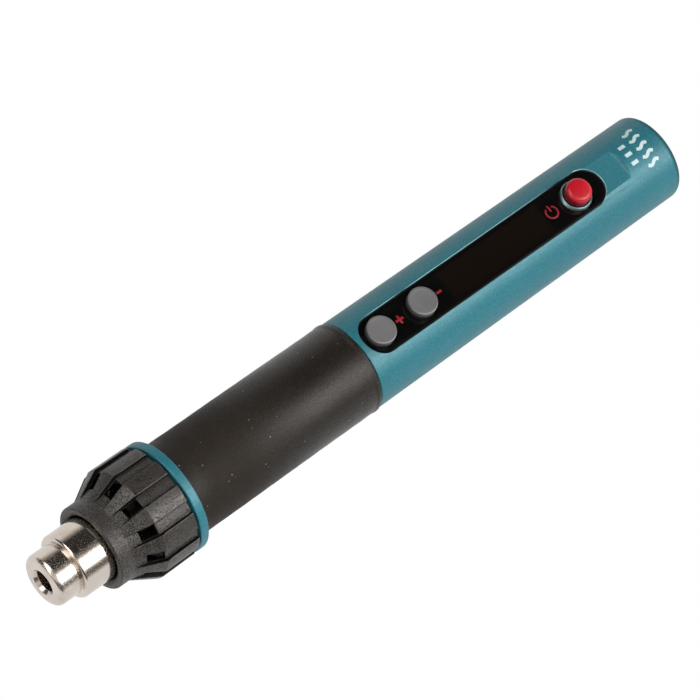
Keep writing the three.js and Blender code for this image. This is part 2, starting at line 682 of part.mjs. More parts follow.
// ================================================================ leads
// [x, distance from the axis] along each heater or sensor lead, front to rear.
const LEAD_STATIONS = [
  [-68.5, 6.6], [-66.0, 6.9], [-62.0, 8.2], [-57.5, 9.9],
  [-53.5, 11.1], [-50.5, 11.4], [-46.0, 11.35], [-34.0, 11.35],
  [-21.0, 11.3], [-14.0, 9.6], [-6.0, 8.6], [3.0, 8.0],
];

// Lead from the heater along the bottom of the handle, then up towards the board.
function heaterEndLead(deg) {
  const [endY] = polar(deg, 8.0);
  return lead([
    ...LEAD_STATIONS.map(([x, r]) => [x, ...polar(deg, r)]),
    [8.0, endY, -2.5],
    [9.4, endY, 4.3],
  ], 20);
}
add('heater_lead_a', heaterEndLead(LEAD_DEGS[0]), FINISH.wireWhite);
add('heater_lead_b', heaterEndLead(LEAD_DEGS[1]), FINISH.wireWhite);
add('sensor_lead', heaterEndLead(LEAD_DEGS[2]), FINISH.wireRed);

add('motor_lead', lead([
  [-12.0, 0, 0], [-9.0, 0, 0.3], [-5.0, 0, 2.0], [-1.5, 0, 4.6], [-0.2, 0, 5.3],
], 8), FINISH.wireRed);

// Mains leads run forwards from the inlet pins and end side by side.
const MAINS_FINISHES = [FINISH.wireRed, FINISH.wireBlue, FINISH.wireGreen];
INLET_PINS.forEach(([name, deg], i) => {
  const [y, z] = polar(deg, INLET_PIN_CIRCLE_R);
  const endY = (i - 1) * 2.4 + 3;
  add(`${name}_lead`, lead([
    [112.3, y, z],
    [110.0, y, z * 0.6 - 1.0],
    [106.0, endY, -1.5 - i * 0.4],
    [100.0, endY, -1.5],
  ], 8), MAINS_FINISHES[i]);
});

// Put the middle of the length at the origin.
tool.position.x = -(TIP_X + REAR_X) / 2;

export default tool;
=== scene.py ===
"""Hand-held tool with a steel nozzle, vent cap, rubber grip and control panel.

It lies along X: nozzle towards -X, power inlet towards +X, panel facing +Z.
Shapes are drawn in mm with the nozzle outlet at X_TIP; OFFSET carries them to the frame.
"""

import json
import math
from functools import cached_property

import bmesh
import bpy
import numpy as np
from mathutils import Matrix, Vector


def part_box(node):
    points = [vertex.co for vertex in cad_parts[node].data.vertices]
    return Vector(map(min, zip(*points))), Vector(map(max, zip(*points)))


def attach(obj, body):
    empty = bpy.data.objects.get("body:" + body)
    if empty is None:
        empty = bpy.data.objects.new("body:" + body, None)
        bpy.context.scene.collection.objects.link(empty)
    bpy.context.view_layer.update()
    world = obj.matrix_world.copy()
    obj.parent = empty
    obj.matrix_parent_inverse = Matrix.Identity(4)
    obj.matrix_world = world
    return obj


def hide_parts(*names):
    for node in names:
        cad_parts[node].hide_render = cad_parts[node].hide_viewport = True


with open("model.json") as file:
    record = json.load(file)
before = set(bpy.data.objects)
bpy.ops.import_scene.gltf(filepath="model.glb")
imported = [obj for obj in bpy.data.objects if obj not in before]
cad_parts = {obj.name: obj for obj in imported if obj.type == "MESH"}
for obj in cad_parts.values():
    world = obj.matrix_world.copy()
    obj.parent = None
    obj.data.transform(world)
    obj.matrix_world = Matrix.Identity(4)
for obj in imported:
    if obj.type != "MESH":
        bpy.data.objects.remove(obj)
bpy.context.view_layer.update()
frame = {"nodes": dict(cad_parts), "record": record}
scene = bpy.context.scene
scene.view_settings.view_transform = "Standard"
scene.view_settings.look = "None"
scene.view_settings.exposure = 0.0
scene.view_settings.gamma = 1.0

# ------------------------------------------------------------------ main sizes, mm
MM = 0.001
X_TIP = -129.2
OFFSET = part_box("nozzle")[0].x / MM - X_TIP
X_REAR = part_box("body_tube")[1].x / MM - OFFSET

BODY_SHOULDER_X = -3.8
BODY_FRONT_R, BODY_REAR_R = 15.65, 14.85
BODY_FILLET = 4.5
FLAT_Z = 13.85                                # flat that carries the panel
SLOT_X0, SLOT_X1, SLOT_W = -1.8, 101.2, 14.0  # round-ended slot for the panel
SLOT_FLOOR_Z = 12.3
PANEL_TOP_Z = 13.6
PLUS_X, MINUS_X, POWER_X = 5.3, 22.8, 90.4    # key centres


def frame_x(x):
    """Drawing X in mm to frame X in metres."""
    return (x + OFFSET) * MM


def body_radius(x):
    share = (x - BODY_SHOULDER_X) / (X_REAR - BODY_FILLET - BODY_SHOULDER_X)
    return BODY_FRONT_R + (BODY_REAR_R - BODY_FRONT_R) * share


# ------------------------------------------------------------------ outlines
def fillet(points):
    """Round the corners of a polyline of (a, b) or (a, b, corner radius) points."""
    rounded = []
    for i, point in enumerate(points):
        radius = point[2] if len(point) > 2 else 0.0
        corner = np.array(point[:2], float)
        if radius <= 0:
            rounded.append((corner[0], corner[1]))
            continue
        back = np.array(points[i - 1][:2], float) - corner
        ahead = np.array(points[(i + 1) % len(points)][:2], float) - corner
        back_length, ahead_length = np.linalg.norm(back), np.linalg.norm(ahead)
        back, ahead = back / back_length, ahead / ahead_length
        angle = math.acos(float(back @ ahead))
        # the arc takes at most about half of either side
        trim = min(radius / math.tan(angle / 2), 0.49 * min(back_length, ahead_length))
        radius = trim * math.tan(angle / 2)
        middle = (back + ahead) / np.linalg.norm(back + ahead)
        centre = corner + middle * (radius / math.sin(angle / 2))
        start, end = corner + back * trim - centre, corner + ahead * trim - centre
        start_angle = math.atan2(start[1], start[0])
        end_angle = math.atan2(end[1], end[0])
        sweep = (end_angle - start_angle + math.pi) % (2 * math.pi) - math.pi
        steps = max(3, int(math.ceil(abs(sweep) / math.radians(11))))
        for j in range(steps + 1):
            turn = start_angle + sweep * j / steps
            rounded.append((centre[0] + radius * math.cos(turn),
                            centre[1] + radius * math.sin(turn)))
    return rounded


def slot_outline(inset=0.0, steps=40):
    """Round-ended outline of the panel slot, moved inwards by inset."""
    radius = (SLOT_W - 2 * inset) / 2
    x0, x1 = SLOT_X0 + inset + radius, SLOT_X1 - inset - radius
    quarter = math.pi / 2
    outline = [(x1 + radius * math.cos(turn), radius * math.sin(turn))
               for turn in np.linspace(-quarter, quarter, steps + 1)]
    outline += [(x0 + radius * math.cos(turn), radius * math.sin(turn))
                for turn in np.linspace(quarter, math.pi * 1.5, steps + 1)]
    return outline


def circle(x, radius, steps=64):
    turns = [2 * math.pi * i / steps for i in range(steps)]
    return [(x + radius * math.cos(turn), radius * math.sin(turn)) for turn in turns]


def rectangle(x0, x1, y0, y1):
    return [(x0, y0), (x1, y0), (x1, y1), (x0, y1)]


def cross(x, span, width):
    a, b = span / 2, width / 2
    corners = [(-a, -b), (-b, -b), (-b, -a), (b, -a), (b, -b), (a, -b),
               (a, b), (b, b), (b, a), (-b, a), (-b, b), (-a, b)]
    return [(x + dx, dy) for dx, dy in corners]


# ------------------------------------------------------------------ placing turned profiles
def along_x(x, r, turn):
    """Around the handle axis: turn 0 is +Z and grows towards -Y."""
    return (x, -r * math.sin(turn), r * math.cos(turn))


def parallel_x(distance, angle):
    """Around a line parallel to X, at a distance and angle from the handle axis."""
    _, y0, z0 = along_x(0.0, distance, angle)
    return lambda x, r, turn: (x, y0 + r * math.cos(turn), z0 + r * math.sin(turn))


def upright_at(x):
    """Around a vertical line that crosses the handle axis."""
    return lambda z, r, turn: (x + r * math.cos(turn), r * math.sin(turn), z)


# ------------------------------------------------------------------ meshes
def mesh_object(name, verts, faces):
    bm = bmesh.new()
    made = [bm.verts.new(vert) for vert in verts]
    for face in faces:
        try:
            bm.faces.new([made[i] for i in face])
        except ValueError:
            # guards against a face that repeats a vertex or another face
            pass
    bmesh.ops.recalc_face_normals(bm, faces=bm.faces)
    mesh = bpy.data.meshes.new(name)
    bm.to_mesh(mesh)
    bm.free()
    obj = bpy.data.objects.new(name, mesh)
    scene.collection.objects.link(obj)
    return obj


def revolve(name, profile, segments, place=along_x):
    """Turn (along, radius) points: a closed loop, or an open line from axis to axis."""
    open_ends = profile[0][1] < 1e-6 and profile[-1][1] < 1e-6
    verts, rings, faces = [], [], []
    for along, radius in profile:
        if radius < 1e-6:
            rings.append([len(verts)])
            verts.append(place(along, 0.0, 0.0))
        else:
            rings.append(list(range(len(verts), len(verts) + segments)))
            verts += [place(along, radius, 2 * math.pi * i / segments)
                      for i in range(segments)]
    count = len(rings)
    for j in range(count - 1 if open_ends else count):
        ring, following = rings[j], rings[(j + 1) % count]
        for i in range(segments):
            k = (i + 1) % segments
            if len(ring) == 1:
                faces.append((ring[0], following[k], following[i]))
            elif len(following) == 1:
                faces.append((ring[i], ring[k], following[0]))
            else:
                faces.append((ring[i], ring[k], following[k], following[i]))
    return mesh_object(name, verts, faces)


def peg(name, x0, x1, radius, place):
    """Plain cylinder for cutting a round hole."""
    return revolve(name, [(x0, 0.0), (x0, radius), (x1, radius), (x1, 0.0)], 24, place)


def prism(name, near, far, flip_caps=False):
    """Solid between two matching outlines of 3D points; flip_caps reverses the end faces."""
    n = len(near)
    caps = [tuple(range(n)), tuple(range(2 * n - 1, n - 1, -1))]
    if flip_caps:
        caps = [cap[::-1] for cap in caps]
    sides = [(i, (i + 1) % n, n + (i + 1) % n, n + i) for i in range(n)]
    return mesh_object(name, near + far, caps + sides)


def upright_prism(name, outline, z0, z1):
    return prism(name, [(x, y, z0) for x, y in outline], [(x, y, z1) for x, y in outline], True)


def subtract(obj, cutters):
    for cutter in cutters:
        modifier = obj.modifiers.new("b", "BOOLEAN")
        modifier.operation = "DIFFERENCE"
        modifier.object = cutter
        modifier.solver = "EXACT"
    bpy.context.view_layer.update()
    depsgraph = bpy.context.evaluated_depsgraph_get()
    mesh = bpy.data.meshes.new_from_object(obj.evaluated_get(depsgraph))
    obj.modifiers.clear()
    uncut = obj.data
    obj.data = mesh
    bpy.data.meshes.remove(uncut)
    for cutter in cutters:
        bpy.data.objects.remove(cutter)


def plate(name, outlines, z0, z1, bevel, steps=3):
    """Flat plate with rounded edges; the first outline is the outside, the rest are holes."""
    curve = bpy.data.curves.new(name + "_c", "CURVE")
    curve.dimensions = "2D"
    curve.fill_mode = "BOTH"
    curve.extrude = (z1 - z0) / 2 - bevel
    curve.bevel_depth = bevel
    curve.bevel_resolution = steps
    curve.offset = -bevel
    for outline in outlines:
        spline = curve.splines.new("POLY")
        spline.points.add(len(outline) - 1)
        for point, (x, y) in zip(spline.points, outline):
            point.co = (x, y, 0, 1)
        spline.use_cyclic_u = True
    source = bpy.data.objects.new(name + "_tmp", curve)
    scene.collection.objects.link(source)
    bpy.context.view_layer.update()
    depsgraph = bpy.context.evaluated_depsgraph_get()
    mesh = bpy.data.meshes.new_from_object(source.evaluated_get(depsgraph))
    bpy.data.objects.remove(source)
    mesh.transform(Matrix.Translation((0, 0, (z0 + z1) / 2)))
    bm = bmesh.new()
    bm.from_mesh(mesh)
    bmesh.ops.remove_doubles(bm, verts=bm.verts, dist=1e-4)
    bmesh.ops.recalc_face_normals(bm, faces=bm.faces)
    bm.to_mesh(mesh)
    bm.free()
    obj = bpy.data.objects.new(name, mesh)
    scene.collection.objects.link(obj)
    return obj


def finish_mesh(obj, sharp_angle):
    """Smooth shading with sharp edges above the angle; drawing mm to frame metres."""
    bm = bmesh.new()
    bm.from_mesh(obj.data)
    bmesh.ops.recalc_face_normals(bm, faces=bm.faces)
    limit = math.radians(sharp_angle)
    for face in bm.faces:
        face.smooth = True
    for edge in bm.edges:
        edge.smooth = not (len(edge.link_faces) == 2 and edge.calc_face_angle(0.0) > limit)
    bm.to_mesh(obj.data)
    bm.free()
    obj.data.transform(Matrix.Scale(MM, 4) @ Matrix.Translation((OFFSET, 0, 0)))
    obj.data.update()


def put(obj, body, slot, *replaced, material=None, angle=32.0, extra=()):
    """Finish a piece and attach it to its body; its material is the slot's unless one is named.
    """
    finish_mesh(obj, angle)
    indices = [face.material_index for face in obj.data.polygons]
    obj.data.materials.clear()
    for name in (material or slot, *extra):
        obj.data.materials.append(MATERIALS[name])
    if extra:
        obj.data.polygons.foreach_set("material_index", indices)
    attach(obj, body)
    if replaced:
        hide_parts(*replaced)


# ------------------------------------------------------------------ shader helpers
def srgb(*channels):
    def linear(channel):
        c = channel / 255.0
        return c / 12.92 if c <= 0.04045 else ((c + 0.055) / 1.055) ** 2.4
    return (*map(linear, channels), 1.0)


def shade(color, gain):
    return (*(min(1, c * gain) for c in color[:3]), 1.0)


NOISE_MIDDLE = (0.3, 0.7)  # where most noise values fall
UNIT = (0.0, 1.0)


class Graph:
    """Short ways to add nodes to a shader tree."""

    def __init__(self, tree):
        self.tree = tree

    def node(self, kind, **settings):
        node = self.tree.nodes.new(kind)
        for key, value in settings.items():
            setattr(node, key, value)
        return node

    def feed(self, socket, value):
        if isinstance(value, (int, float, tuple)):
            socket.default_value = value
        else:
            self.tree.links.new(value, socket)

    def math(self, operation, a, b=0.0):
        node = self.node("ShaderNodeMath", operation=operation)
        self.feed(node.inputs[0], a)
        self.feed(node.inputs[1], b)
        return node.outputs[0]

    def times(self, a, b):
        return self.math("MULTIPLY", a, b)

    def plus(self, a, b):
        return self.math("ADD", a, b)

    def mix(self, factor, a, b, kind="MIX"):
        node = self.node("ShaderNodeMix", data_type="RGBA", blend_type=kind)
        for index, value in ((0, factor), (6, a), (7, b)):
            self.feed(node.inputs[index], value)
        return node.outputs[2]

    def tint(self, base, color):
        return self.mix(1.0, base, color, "MULTIPLY")

    def remap(self, value, span=NOISE_MIDDLE, to=UNIT, kind="LINEAR"):
        node = self.node("ShaderNodeMapRange", interpolation_type=kind)
        node.inputs["From Min"].default_value, node.inputs["From Max"].default_value = span
        node.inputs["To Min"].default_value, node.inputs["To Max"].default_value = to
        self.feed(node.inputs["Value"], value)
        return node.outputs["Result"]

    def ease(self, value, *span):
        return self.remap(value, span, kind="SMOOTHSTEP")

    def dot(self, a, b):
        node = self.node("ShaderNodeVectorMath", operation="DOT_PRODUCT")
        self.feed(node.inputs[0], a)
        self.feed(node.inputs[1], b)
        return node.outputs["Value"]

    def split(self, vector):
        node = self.node("ShaderNodeSeparateXYZ")
        self.feed(node.inputs[0], vector)
        return node.outputs


class Mat(Graph):
    """A Principled material; lengths in its textures are metres."""

    def __init__(self, name, color, rough, metallic=0.0, ior=None):
        self.material = bpy.data.materials.new(name)
        self.material.use_nodes = True
        super().__init__(self.material.node_tree)
        self.shader = self.tree.nodes["Principled BSDF"]
        self.set("Base Color", color)
        self.set("Roughness", rough)
        self.set("Metallic", metallic)
        if ior:
            self.set("IOR", ior)
        self.normal = None

    @cached_property
    def place(self):
        return self.node("ShaderNodeTexCoord").outputs["Object"]

    def set(self, name, value):
        self.feed(self.shader.inputs[name], value)

    def stretch(self, *scale):
        node = self.node("ShaderNodeMapping")
        node.inputs["Scale"].default_value = scale
        self.feed(node.inputs["Vector"], self.place)
        return node.outputs["Vector"]

    def noise(self, scale, detail=3.0, rough=0.55, vector=None):
        node = self.node("ShaderNodeTexNoise")
        node.inputs["Scale"].default_value = scale
        node.inputs["Detail"].default_value = detail
        node.inputs["Roughness"].default_value = rough
        self.feed(node.inputs["Vector"], vector or self.place)
        return node.outputs["Fac"]

    def voronoi(self, scale):
        node = self.node("ShaderNodeTexVoronoi")
        node.inputs["Scale"].default_value = scale
        self.feed(node.inputs["Vector"], self.place)
        return node.outputs["Distance"]

    def mottle(self, noise, color, low, high):
        """The colour wandering between two gains."""
        return self.mix(self.remap(noise), shade(color, low), shade(color, high))

    def grit(self, noise, base, dark, light):
        """Hard-edged grain that tints the base dark or light."""
        return self.mix(self.remap(noise, (0.4, 0.62)),
                        self.tint(base, dark), self.tint(base, light))

    def bump(self, height, strength, distance):
        """Add a bump on top of the ones already made."""
        node = self.node("ShaderNodeBump")
        node.inputs["Strength"].default_value = strength
        node.inputs["Distance"].default_value = distance
        self.feed(node.inputs["Height"], height)
        if self.normal is not None:
            self.feed(node.inputs["Normal"], self.normal)
        self.normal = node.outputs["Normal"]
        self.set("Normal", self.normal)

    def low_shade_fade(self, z0, z1):
        """0 below z0 mm, 1 above z1 mm: mask for the painted shade low on the caps."""
        z = self.split(self.place)[2]
        waver = self.remap(self.noise(scale=700.0), to=(-0.00015, 0.00015))
        return self.remap(self.plus(z, waver), (z0 * MM, z1 * MM))


# ------------------------------------------------------------------ material kinds
def teal_paint(name, color, rim=None):
    """Fine metallic paint; rim = (x0, x1) darkens it from x0 to x1 with painted shade."""
    rough = 0.43
    m = Mat(name, color, rough, metallic=0.15, ior=1.62)
    broad = m.noise(scale=55.0)
    grain = m.noise(scale=3000.0, detail=2.0, rough=0.7)
    streak = m.noise(scale=900.0, rough=0.6, vector=m.stretch(0.15, 1.0, 1.0))
    base = m.mottle(broad, color, low=0.95, high=1.06)
    base = m.mix(m.remap(grain, (0.38, 0.66), to=(0.0, 0.5)), base, shade(color, 1.4))
    flake = m.noise(scale=2000.0, rough=0.85)
    base = m.grit(flake, base, dark=(0.78, 0.84, 0.84, 1.0), light=(1.2, 1.13, 1.13, 1.0))
    sheen = m.remap(flake, (0.38, 0.64), to=(0.38, 0.66))
    if rim:
        # painted shade on the tube's rear rounding: darker colour and weaker specular from x0
        # to x1
        rim_shade_mask = m.remap(m.split(m.place)[0], rim)
        base = m.mix(rim_shade_mask, base, shade(color, 0.42))
        sheen = m.times(sheen, m.remap(rim_shade_mask, UNIT, to=(1.0, 0.2)))
    m.set("Specular IOR Level", sheen)
    m.set("Base Color", base)
    m.set("Roughness", m.remap(streak, to=(rough - 0.04, rough + 0.06)))
    m.bump(grain, strength=0.14, distance=0.00006)
    m.bump(streak, strength=0.05, distance=0.0001)
    return m.material


def rubber(name, color, worn=None):
    """Satin rubber; worn = (dull_x, smooth_x, front_x): dusty and dull at dull_x,
    handled smooth from smooth_x on and partly smooth again at front_x."""
    m = Mat(name, color, 0.72, ior=1.46)
    broad = m.noise(scale=60.0, detail=4.0)
    fine = m.noise(scale=2500.0, rough=0.7)
    drag = m.noise(scale=1400.0, detail=2.0, rough=0.6, vector=m.stretch(0.12, 1.0, 1.0))
    base = m.mottle(broad, color, low=0.85, high=1.18)
    base = m.mix(m.remap(drag, (0.45, 0.8), to=(0.0, 0.3)), base, shade(color, 1.5))
    # dust: small dots, kept only where a second noise is high
    dots = m.math("LESS_THAN", m.voronoi(scale=420.0), 0.085)
    patches = m.math("GREATER_THAN", m.noise(scale=260.0, detail=0.0, rough=0.5), 0.59)
    dust = m.times(dots, patches)
    tooth = m.noise(scale=2100.0, rough=0.85)
    base = m.grit(tooth, base, dark=(0.62, 0.62, 0.62, 1.0), light=(1.5, 1.45, 1.4, 1.0))
    if worn:
        dull_x, smooth_x, front_x = worn
        x = m.plus(m.split(m.place)[0], m.remap(broad, (0.2, 0.8), to=(-0.005, 0.005)))
        smooth = m.math("MAXIMUM", m.remap(x, (dull_x, smooth_x)),
                        m.remap(x, (front_x + 0.004, front_x), to=(0.0, 0.45)))
        base = m.mix(smooth, shade(color, 1.12), m.mix(0.55, base, shade(color, 0.45)))
        rough = m.plus(m.remap(fine, to=(-0.04, 0.05)),
                       m.remap(smooth, UNIT, to=(0.62, 0.31)))
        m.set("Specular IOR Level", m.times(m.remap(smooth, UNIT, to=(0.28, 0.52)),
                                            m.remap(tooth, (0.38, 0.64), to=(0.7, 1.3))))
    else:
        rough = m.remap(broad, to=(0.6, 0.76))
    base = m.mix(m.times(dust, 0.6), base, srgb(176, 164, 150))
    m.set("Base Color", base)
    m.set("Roughness", rough)
    m.bump(fine, strength=0.6, distance=0.0002)
    return m.material


def moulded(name, color, rough, grain=2600.0, strength=0.3, skirt=None):
    """Matt moulded surface; skirt = (z0, z1) mm darkens it below with painted shade and adds a
    painted highlight on one edge of the top.
    """
    m = Mat(name, color, rough, ior=1.5)
    broad = m.noise(scale=90.0)
    fine = m.noise(scale=grain, detail=2.0, rough=0.7)
    base = m.mottle(broad, color, low=0.88, high=1.12)
    if skirt:
        # painted shade: the key turns dark low down
        base = m.mix(m.low_shade_fade(*skirt), shade(color, 0.10), base)
        # painted highlight on the edge of the top that faces the key light, towards -Y
        normal = m.split(m.node("ShaderNodeNewGeometry").outputs["Normal"])
        side = m.plus(m.times(normal[0], -0.35), m.times(normal[1], -0.94))
        painted_edge_highlight = m.times(m.remap(side, (0.1, 0.5)), m.remap(normal[2], (0.15, 0.4)))
        base = m.mix(painted_edge_highlight, base, shade(color, 1.8))
    m.set("Base Color", base)
    m.set("Roughness", m.remap(fine, to=(rough - 0.06, rough + 0.1)))
    m.bump(fine, strength=strength, distance=0.00012)
    return m.material


def pebbled_cap(name, color, collar_x, rib_x):
    """Pebbled plastic, smoother on the collar before collar_x; ribs are glossier from rib_x."""
    rough, rib_rough = 0.40, 0.27
    m = Mat(name, color, rough, ior=1.5)
    fine = m.noise(scale=2600.0, detail=2.0, rough=0.7)
    coarse = m.noise(scale=2300.0, rough=0.85)
    x = m.split(m.place)[0]
    ribbed = m.remap(x, (collar_x - 0.0015, collar_x + 0.0015), to=(0.35, 1.0))
    grains = m.times(m.remap(coarse, (0.42, 0.62), to=(0.0, 0.6)), ribbed)
    grains = m.plus(grains, m.remap(ribbed, (0.35, 1.0), to=(0.17, 0.0)))
    base = m.mix(grains, shade(color, 0.4), shade(color, 4.6))
    # painted shade in the crevices, from an occlusion node, on the colour and the specular
    occlusion = m.node("ShaderNodeAmbientOcclusion", samples=6)
    occlusion.inputs["Distance"].default_value = 0.0016
    crevice_shade = m.remap(occlusion.outputs["AO"], (0.4, 0.95), to=(0.05, 1.0))
    base = m.tint(base, crevice_shade)

    # handling has polished the rib edges
    geometry = m.node("ShaderNodeNewGeometry").outputs
    polish = m.times(m.remap(geometry["Pointiness"], (0.515, 0.56)),
                     m.remap(x, (rib_x + 0.0003, rib_x + 0.0015)))

    # painted shade on the groove walls: faces that look along the rim rather than outwards
    position = m.split(geometry["Position"])
    outwards = m.node("ShaderNodeCombineXYZ")
    m.feed(outwards.inputs[1], position[1])
    m.feed(outwards.inputs[2], position[2])
    unit = m.node("ShaderNodeVectorMath", operation="NORMALIZE")
    m.feed(unit.inputs[0], outwards.outputs[0])
    facing = m.math("ABSOLUTE", m.dot(unit.outputs["Vector"], geometry["Normal"]))
    wall = m.times(m.remap(facing, (0.80, 0.62)),
                   m.remap(x, (collar_x - 0.0012, collar_x - 0.0008)))
    base = m.mix(wall, base, shade(color, 0.12))
    crevice_shade = m.times(crevice_shade, m.remap(wall, UNIT, to=(1.0, 0.15)))

    m.set("Base Color", m.mix(polish, base, (0.46, 0.45, 0.44, 1.0)))
    m.set("Metallic", polish)
    m.set("Specular IOR Level",
          m.times(crevice_shade, m.remap(coarse, (0.40, 0.62), to=(0.12, 1.0))))
    m.set("Roughness", m.plus(
        m.remap(coarse, (0.35, 0.65), to=(0.12, -0.07)),
        m.remap(m.split(m.place)[0], (collar_x, rib_x), to=(rough, rib_rough))))
    m.bump(coarse, strength=0.42, distance=0.00015)
    m.bump(fine, strength=0.4, distance=0.00012)
    return m.material


def metal(name, color, rough, turned=(1.0, 1.0, 1.0), strength=0.12, tint=None, outlet=None):
    """Bare metal; turned stretches the tool lines, outlet = x before which it is duller."""
    m = Mat(name, color, rough, metallic=1.0)
    broad = m.noise(scale=70.0)
    lines = m.noise(scale=2600.0, detail=2.0, rough=0.6, vector=m.stretch(*turned))
    base = m.mottle(broad, color, low=0.92, high=1.04)
    if tint:
        stain = m.noise(scale=160.0, detail=4.0)
        base = m.mix(m.remap(stain, (0.5, 0.75), to=(0.0, 0.35)), base, tint)
    m.set("Base Color", base)
    roughness = m.remap(lines, (0.3, 0.75), to=(rough - 0.05, rough + 0.1))
    if outlet:
        x = m.split(m.place)[0]
        roughness = m.plus(roughness, m.remap(x, (outlet, outlet + 0.0004), to=(0.08, 0.0)))
        specks = m.noise(scale=2600.0, detail=1.0, rough=0.7)
        roughness = m.plus(roughness, m.remap(specks, (0.52, 0.74), to=(0.0, 0.22)))
    m.set("Roughness", roughness)
    m.bump(lines, strength=strength, distance=0.00003)
    return m.material


def glossy(name, color, rough, coat=0.0, skirt=None):
    """Smooth smeared surface; skirt = (z0, z1) mm turns it dark red below with painted shade.
    """
    m = Mat(name, color, rough, ior=1.49)
    smear = m.noise(scale=130.0, detail=4.0, rough=0.6)
    m.set("Roughness", m.remap(smear, (0.35, 0.75), to=(rough, rough + 0.09)))
    base = m.mottle(smear, color, low=0.9, high=1.15)
    if skirt:
        # painted shade: the key turns dark red low down
        base = m.mix(m.low_shade_fade(*skirt), (0.09, 0.002, 0.02, 1.0), base)
    m.set("Base Color", base)
    m.bump(m.noise(scale=300.0, detail=2.0), strength=0.02, distance=0.0001)
    if coat:
        m.set("Coat Weight", coat)
        m.set("Coat Roughness", 0.05)
    return m.material


def panel_gloss(name, color):
    """Glossy black panel with a slightly browner, duller zone over the display."""
    m = Mat(name, color, 0.07, ior=1.46)
    place = m.split(m.place)

    def between(value, low, high):
        return m.times(m.math("GREATER_THAN", value, low), m.math("LESS_THAN", value, high))

    zone = m.times(between(place[0], frame_x(33.5), frame_x(76.5)),
                   between(place[1], -0.0052, 0.0052))
    m.set("Base Color", m.mix(zone, srgb(8, 8, 8), srgb(20, 13, 9)))
    smear = m.noise(scale=140.0, detail=4.0, rough=0.6)
    m.set("Roughness", m.plus(m.remap(smear, (0.35, 0.75), to=(0.05, 0.12)),
                              m.times(zone, 0.03)))
    # only the upward face reflects fully; the rounded edge stays dark
    normal = m.split(m.node("ShaderNodeNewGeometry").outputs["Normal"])
    m.set("Specular IOR Level", m.remap(normal[2], (0.9, 0.995), to=(0.04, 0.5)))
    m.bump(m.noise(scale=240.0, detail=2.0), strength=0.015, distance=0.0001)
    return m.material


# name: (kind, sRGB colour, options)
TEAL = (38, 119, 133)
RECIPES = {
    "teal_paint": (teal_paint, TEAL, dict(
        rim=(frame_x(X_REAR - 0.56 * BODY_FILLET), frame_x(X_REAR - 0.3 * BODY_FILLET)))),
    "ring_teal": (teal_paint, TEAL, {}),
    "rubber_grip": (rubber, (36, 30, 24), dict(
        worn=(frame_x(-60.0), frame_x(-27.0), frame_x(-76.5)))),
    "cap_plastic": (pebbled_cap, (48, 45, 42), dict(
        collar_x=frame_x(-104.0), rib_x=frame_x(-95.0))),
    "nickel_steel": (metal, (221, 212, 203), dict(
        rough=0.10, turned=(0.3, 1.0, 1.0), strength=0.10, tint=srgb(176, 146, 118),
        outlet=frame_x(-121.2))),
    "spring_steel": (metal, (180, 180, 184), dict(rough=0.3)),
    "steel": (metal, (112, 104, 96), dict(
        rough=0.38, turned=(0.2, 1.0, 1.0), strength=0.2, tint=srgb(120, 90, 60))),
    "mica": (moulded, (194, 178, 134), dict(rough=0.5)),
    "ceramic": (moulded, (228, 222, 208), dict(rough=0.7, grain=1800.0, strength=0.2)),
    "nichrome": (metal, (110, 104, 98), dict(rough=0.45)),
    "brass": (metal, (205, 172, 90), dict(rough=0.25)),
    "silicone": (rubber, (160, 72, 58), {}),
    "black_plastic": (moulded, (26, 26, 28), dict(rough=0.45, grain=2000.0, strength=0.35)),
    "button_grey": (moulded, (112, 111, 111), dict(
        rough=0.46, grain=3200.0, strength=0.22, skirt=(14.3, 15.3))),
    "button_red": (glossy, (200, 20, 38), dict(rough=0.28, coat=0.3, skirt=(14.8, 16.4))),
    "chrome": (metal, (136, 168, 171), dict(rough=0.34)),
    "circuit_board": (glossy, (30, 92, 58), dict(rough=0.3)),
    "component_black": (moulded, (22, 22, 24), dict(rough=0.5)),
    "film_yellow": (glossy, (196, 160, 44), dict(rough=0.3)),
    "ferrite": (moulded, (58, 57, 60), dict(rough=0.6)),
    "wire_red": (moulded, (172, 42, 34), dict(rough=0.45)),
    "wire_blue": (moulded, (42, 78, 158), dict(rough=0.45)),
    "wire_green": (moulded, (78, 152, 54), dict(rough=0.45)),
    "wire_white": (moulded, (224, 220, 210), dict(rough=0.5)),
    "panel_acrylic": (panel_gloss, (9, 8, 7), {}),
    "glyph_red": (glossy, (150, 18, 38), dict(rough=0.35)),
    "white_ink": (moulded, (206, 226, 228), dict(rough=0.5, grain=3000.0, strength=0.2)),
    "bare_edge": (metal, (120, 150, 156), dict(rough=0.34)),
    # bare metal made lighter at the slot's rear end: painted highlight
    "bare_edge_rear": (metal, (214, 240, 242), dict(rough=0.5)),
}
MATERIALS = {name: kind(name, srgb(*rgb), **options)
             for name, (kind, rgb, options) in RECIPES.items()}

# every CAD piece gets the material of its slot
for row in frame["record"]["subparts"]:
    piece = frame["nodes"][row["node"]]
    material = MATERIALS[row["material_slot"]]
    if not piece.data.materials:
        piece.data.materials.append(material)
    for material_slot in piece.material_slots:
        material_slot.material = material

# Profiles below list (x, radius, corner radius) unless a comment says otherwise.

# ------------------------------------------------------------------ nozzle
nozzle = revolve("nozzle_steel", fillet([
    (X_TIP + 1.2, 3.85, 0.5), (X_TIP, 4.75, 0.22), (X_TIP, 8.9, 2.5), (-121.35, 8.9, 0.1),
    (-121.15, 8.66, 0.08), (-120.85, 8.66, 0.08), (-120.7, 9.05, 0.1), (-120.7, 11.0, 1.8),
    (-97.0, 11.0, 0.3), (-97.0, 10.3, 0.2), (-117.0, 10.3, 0.4), (-121.6, 6.6, 0.5),
    (-123.2, 3.85, 0.4),
]), 160)
put(nozzle, "nozzle", "nickel_steel", "nozzle", angle=40)

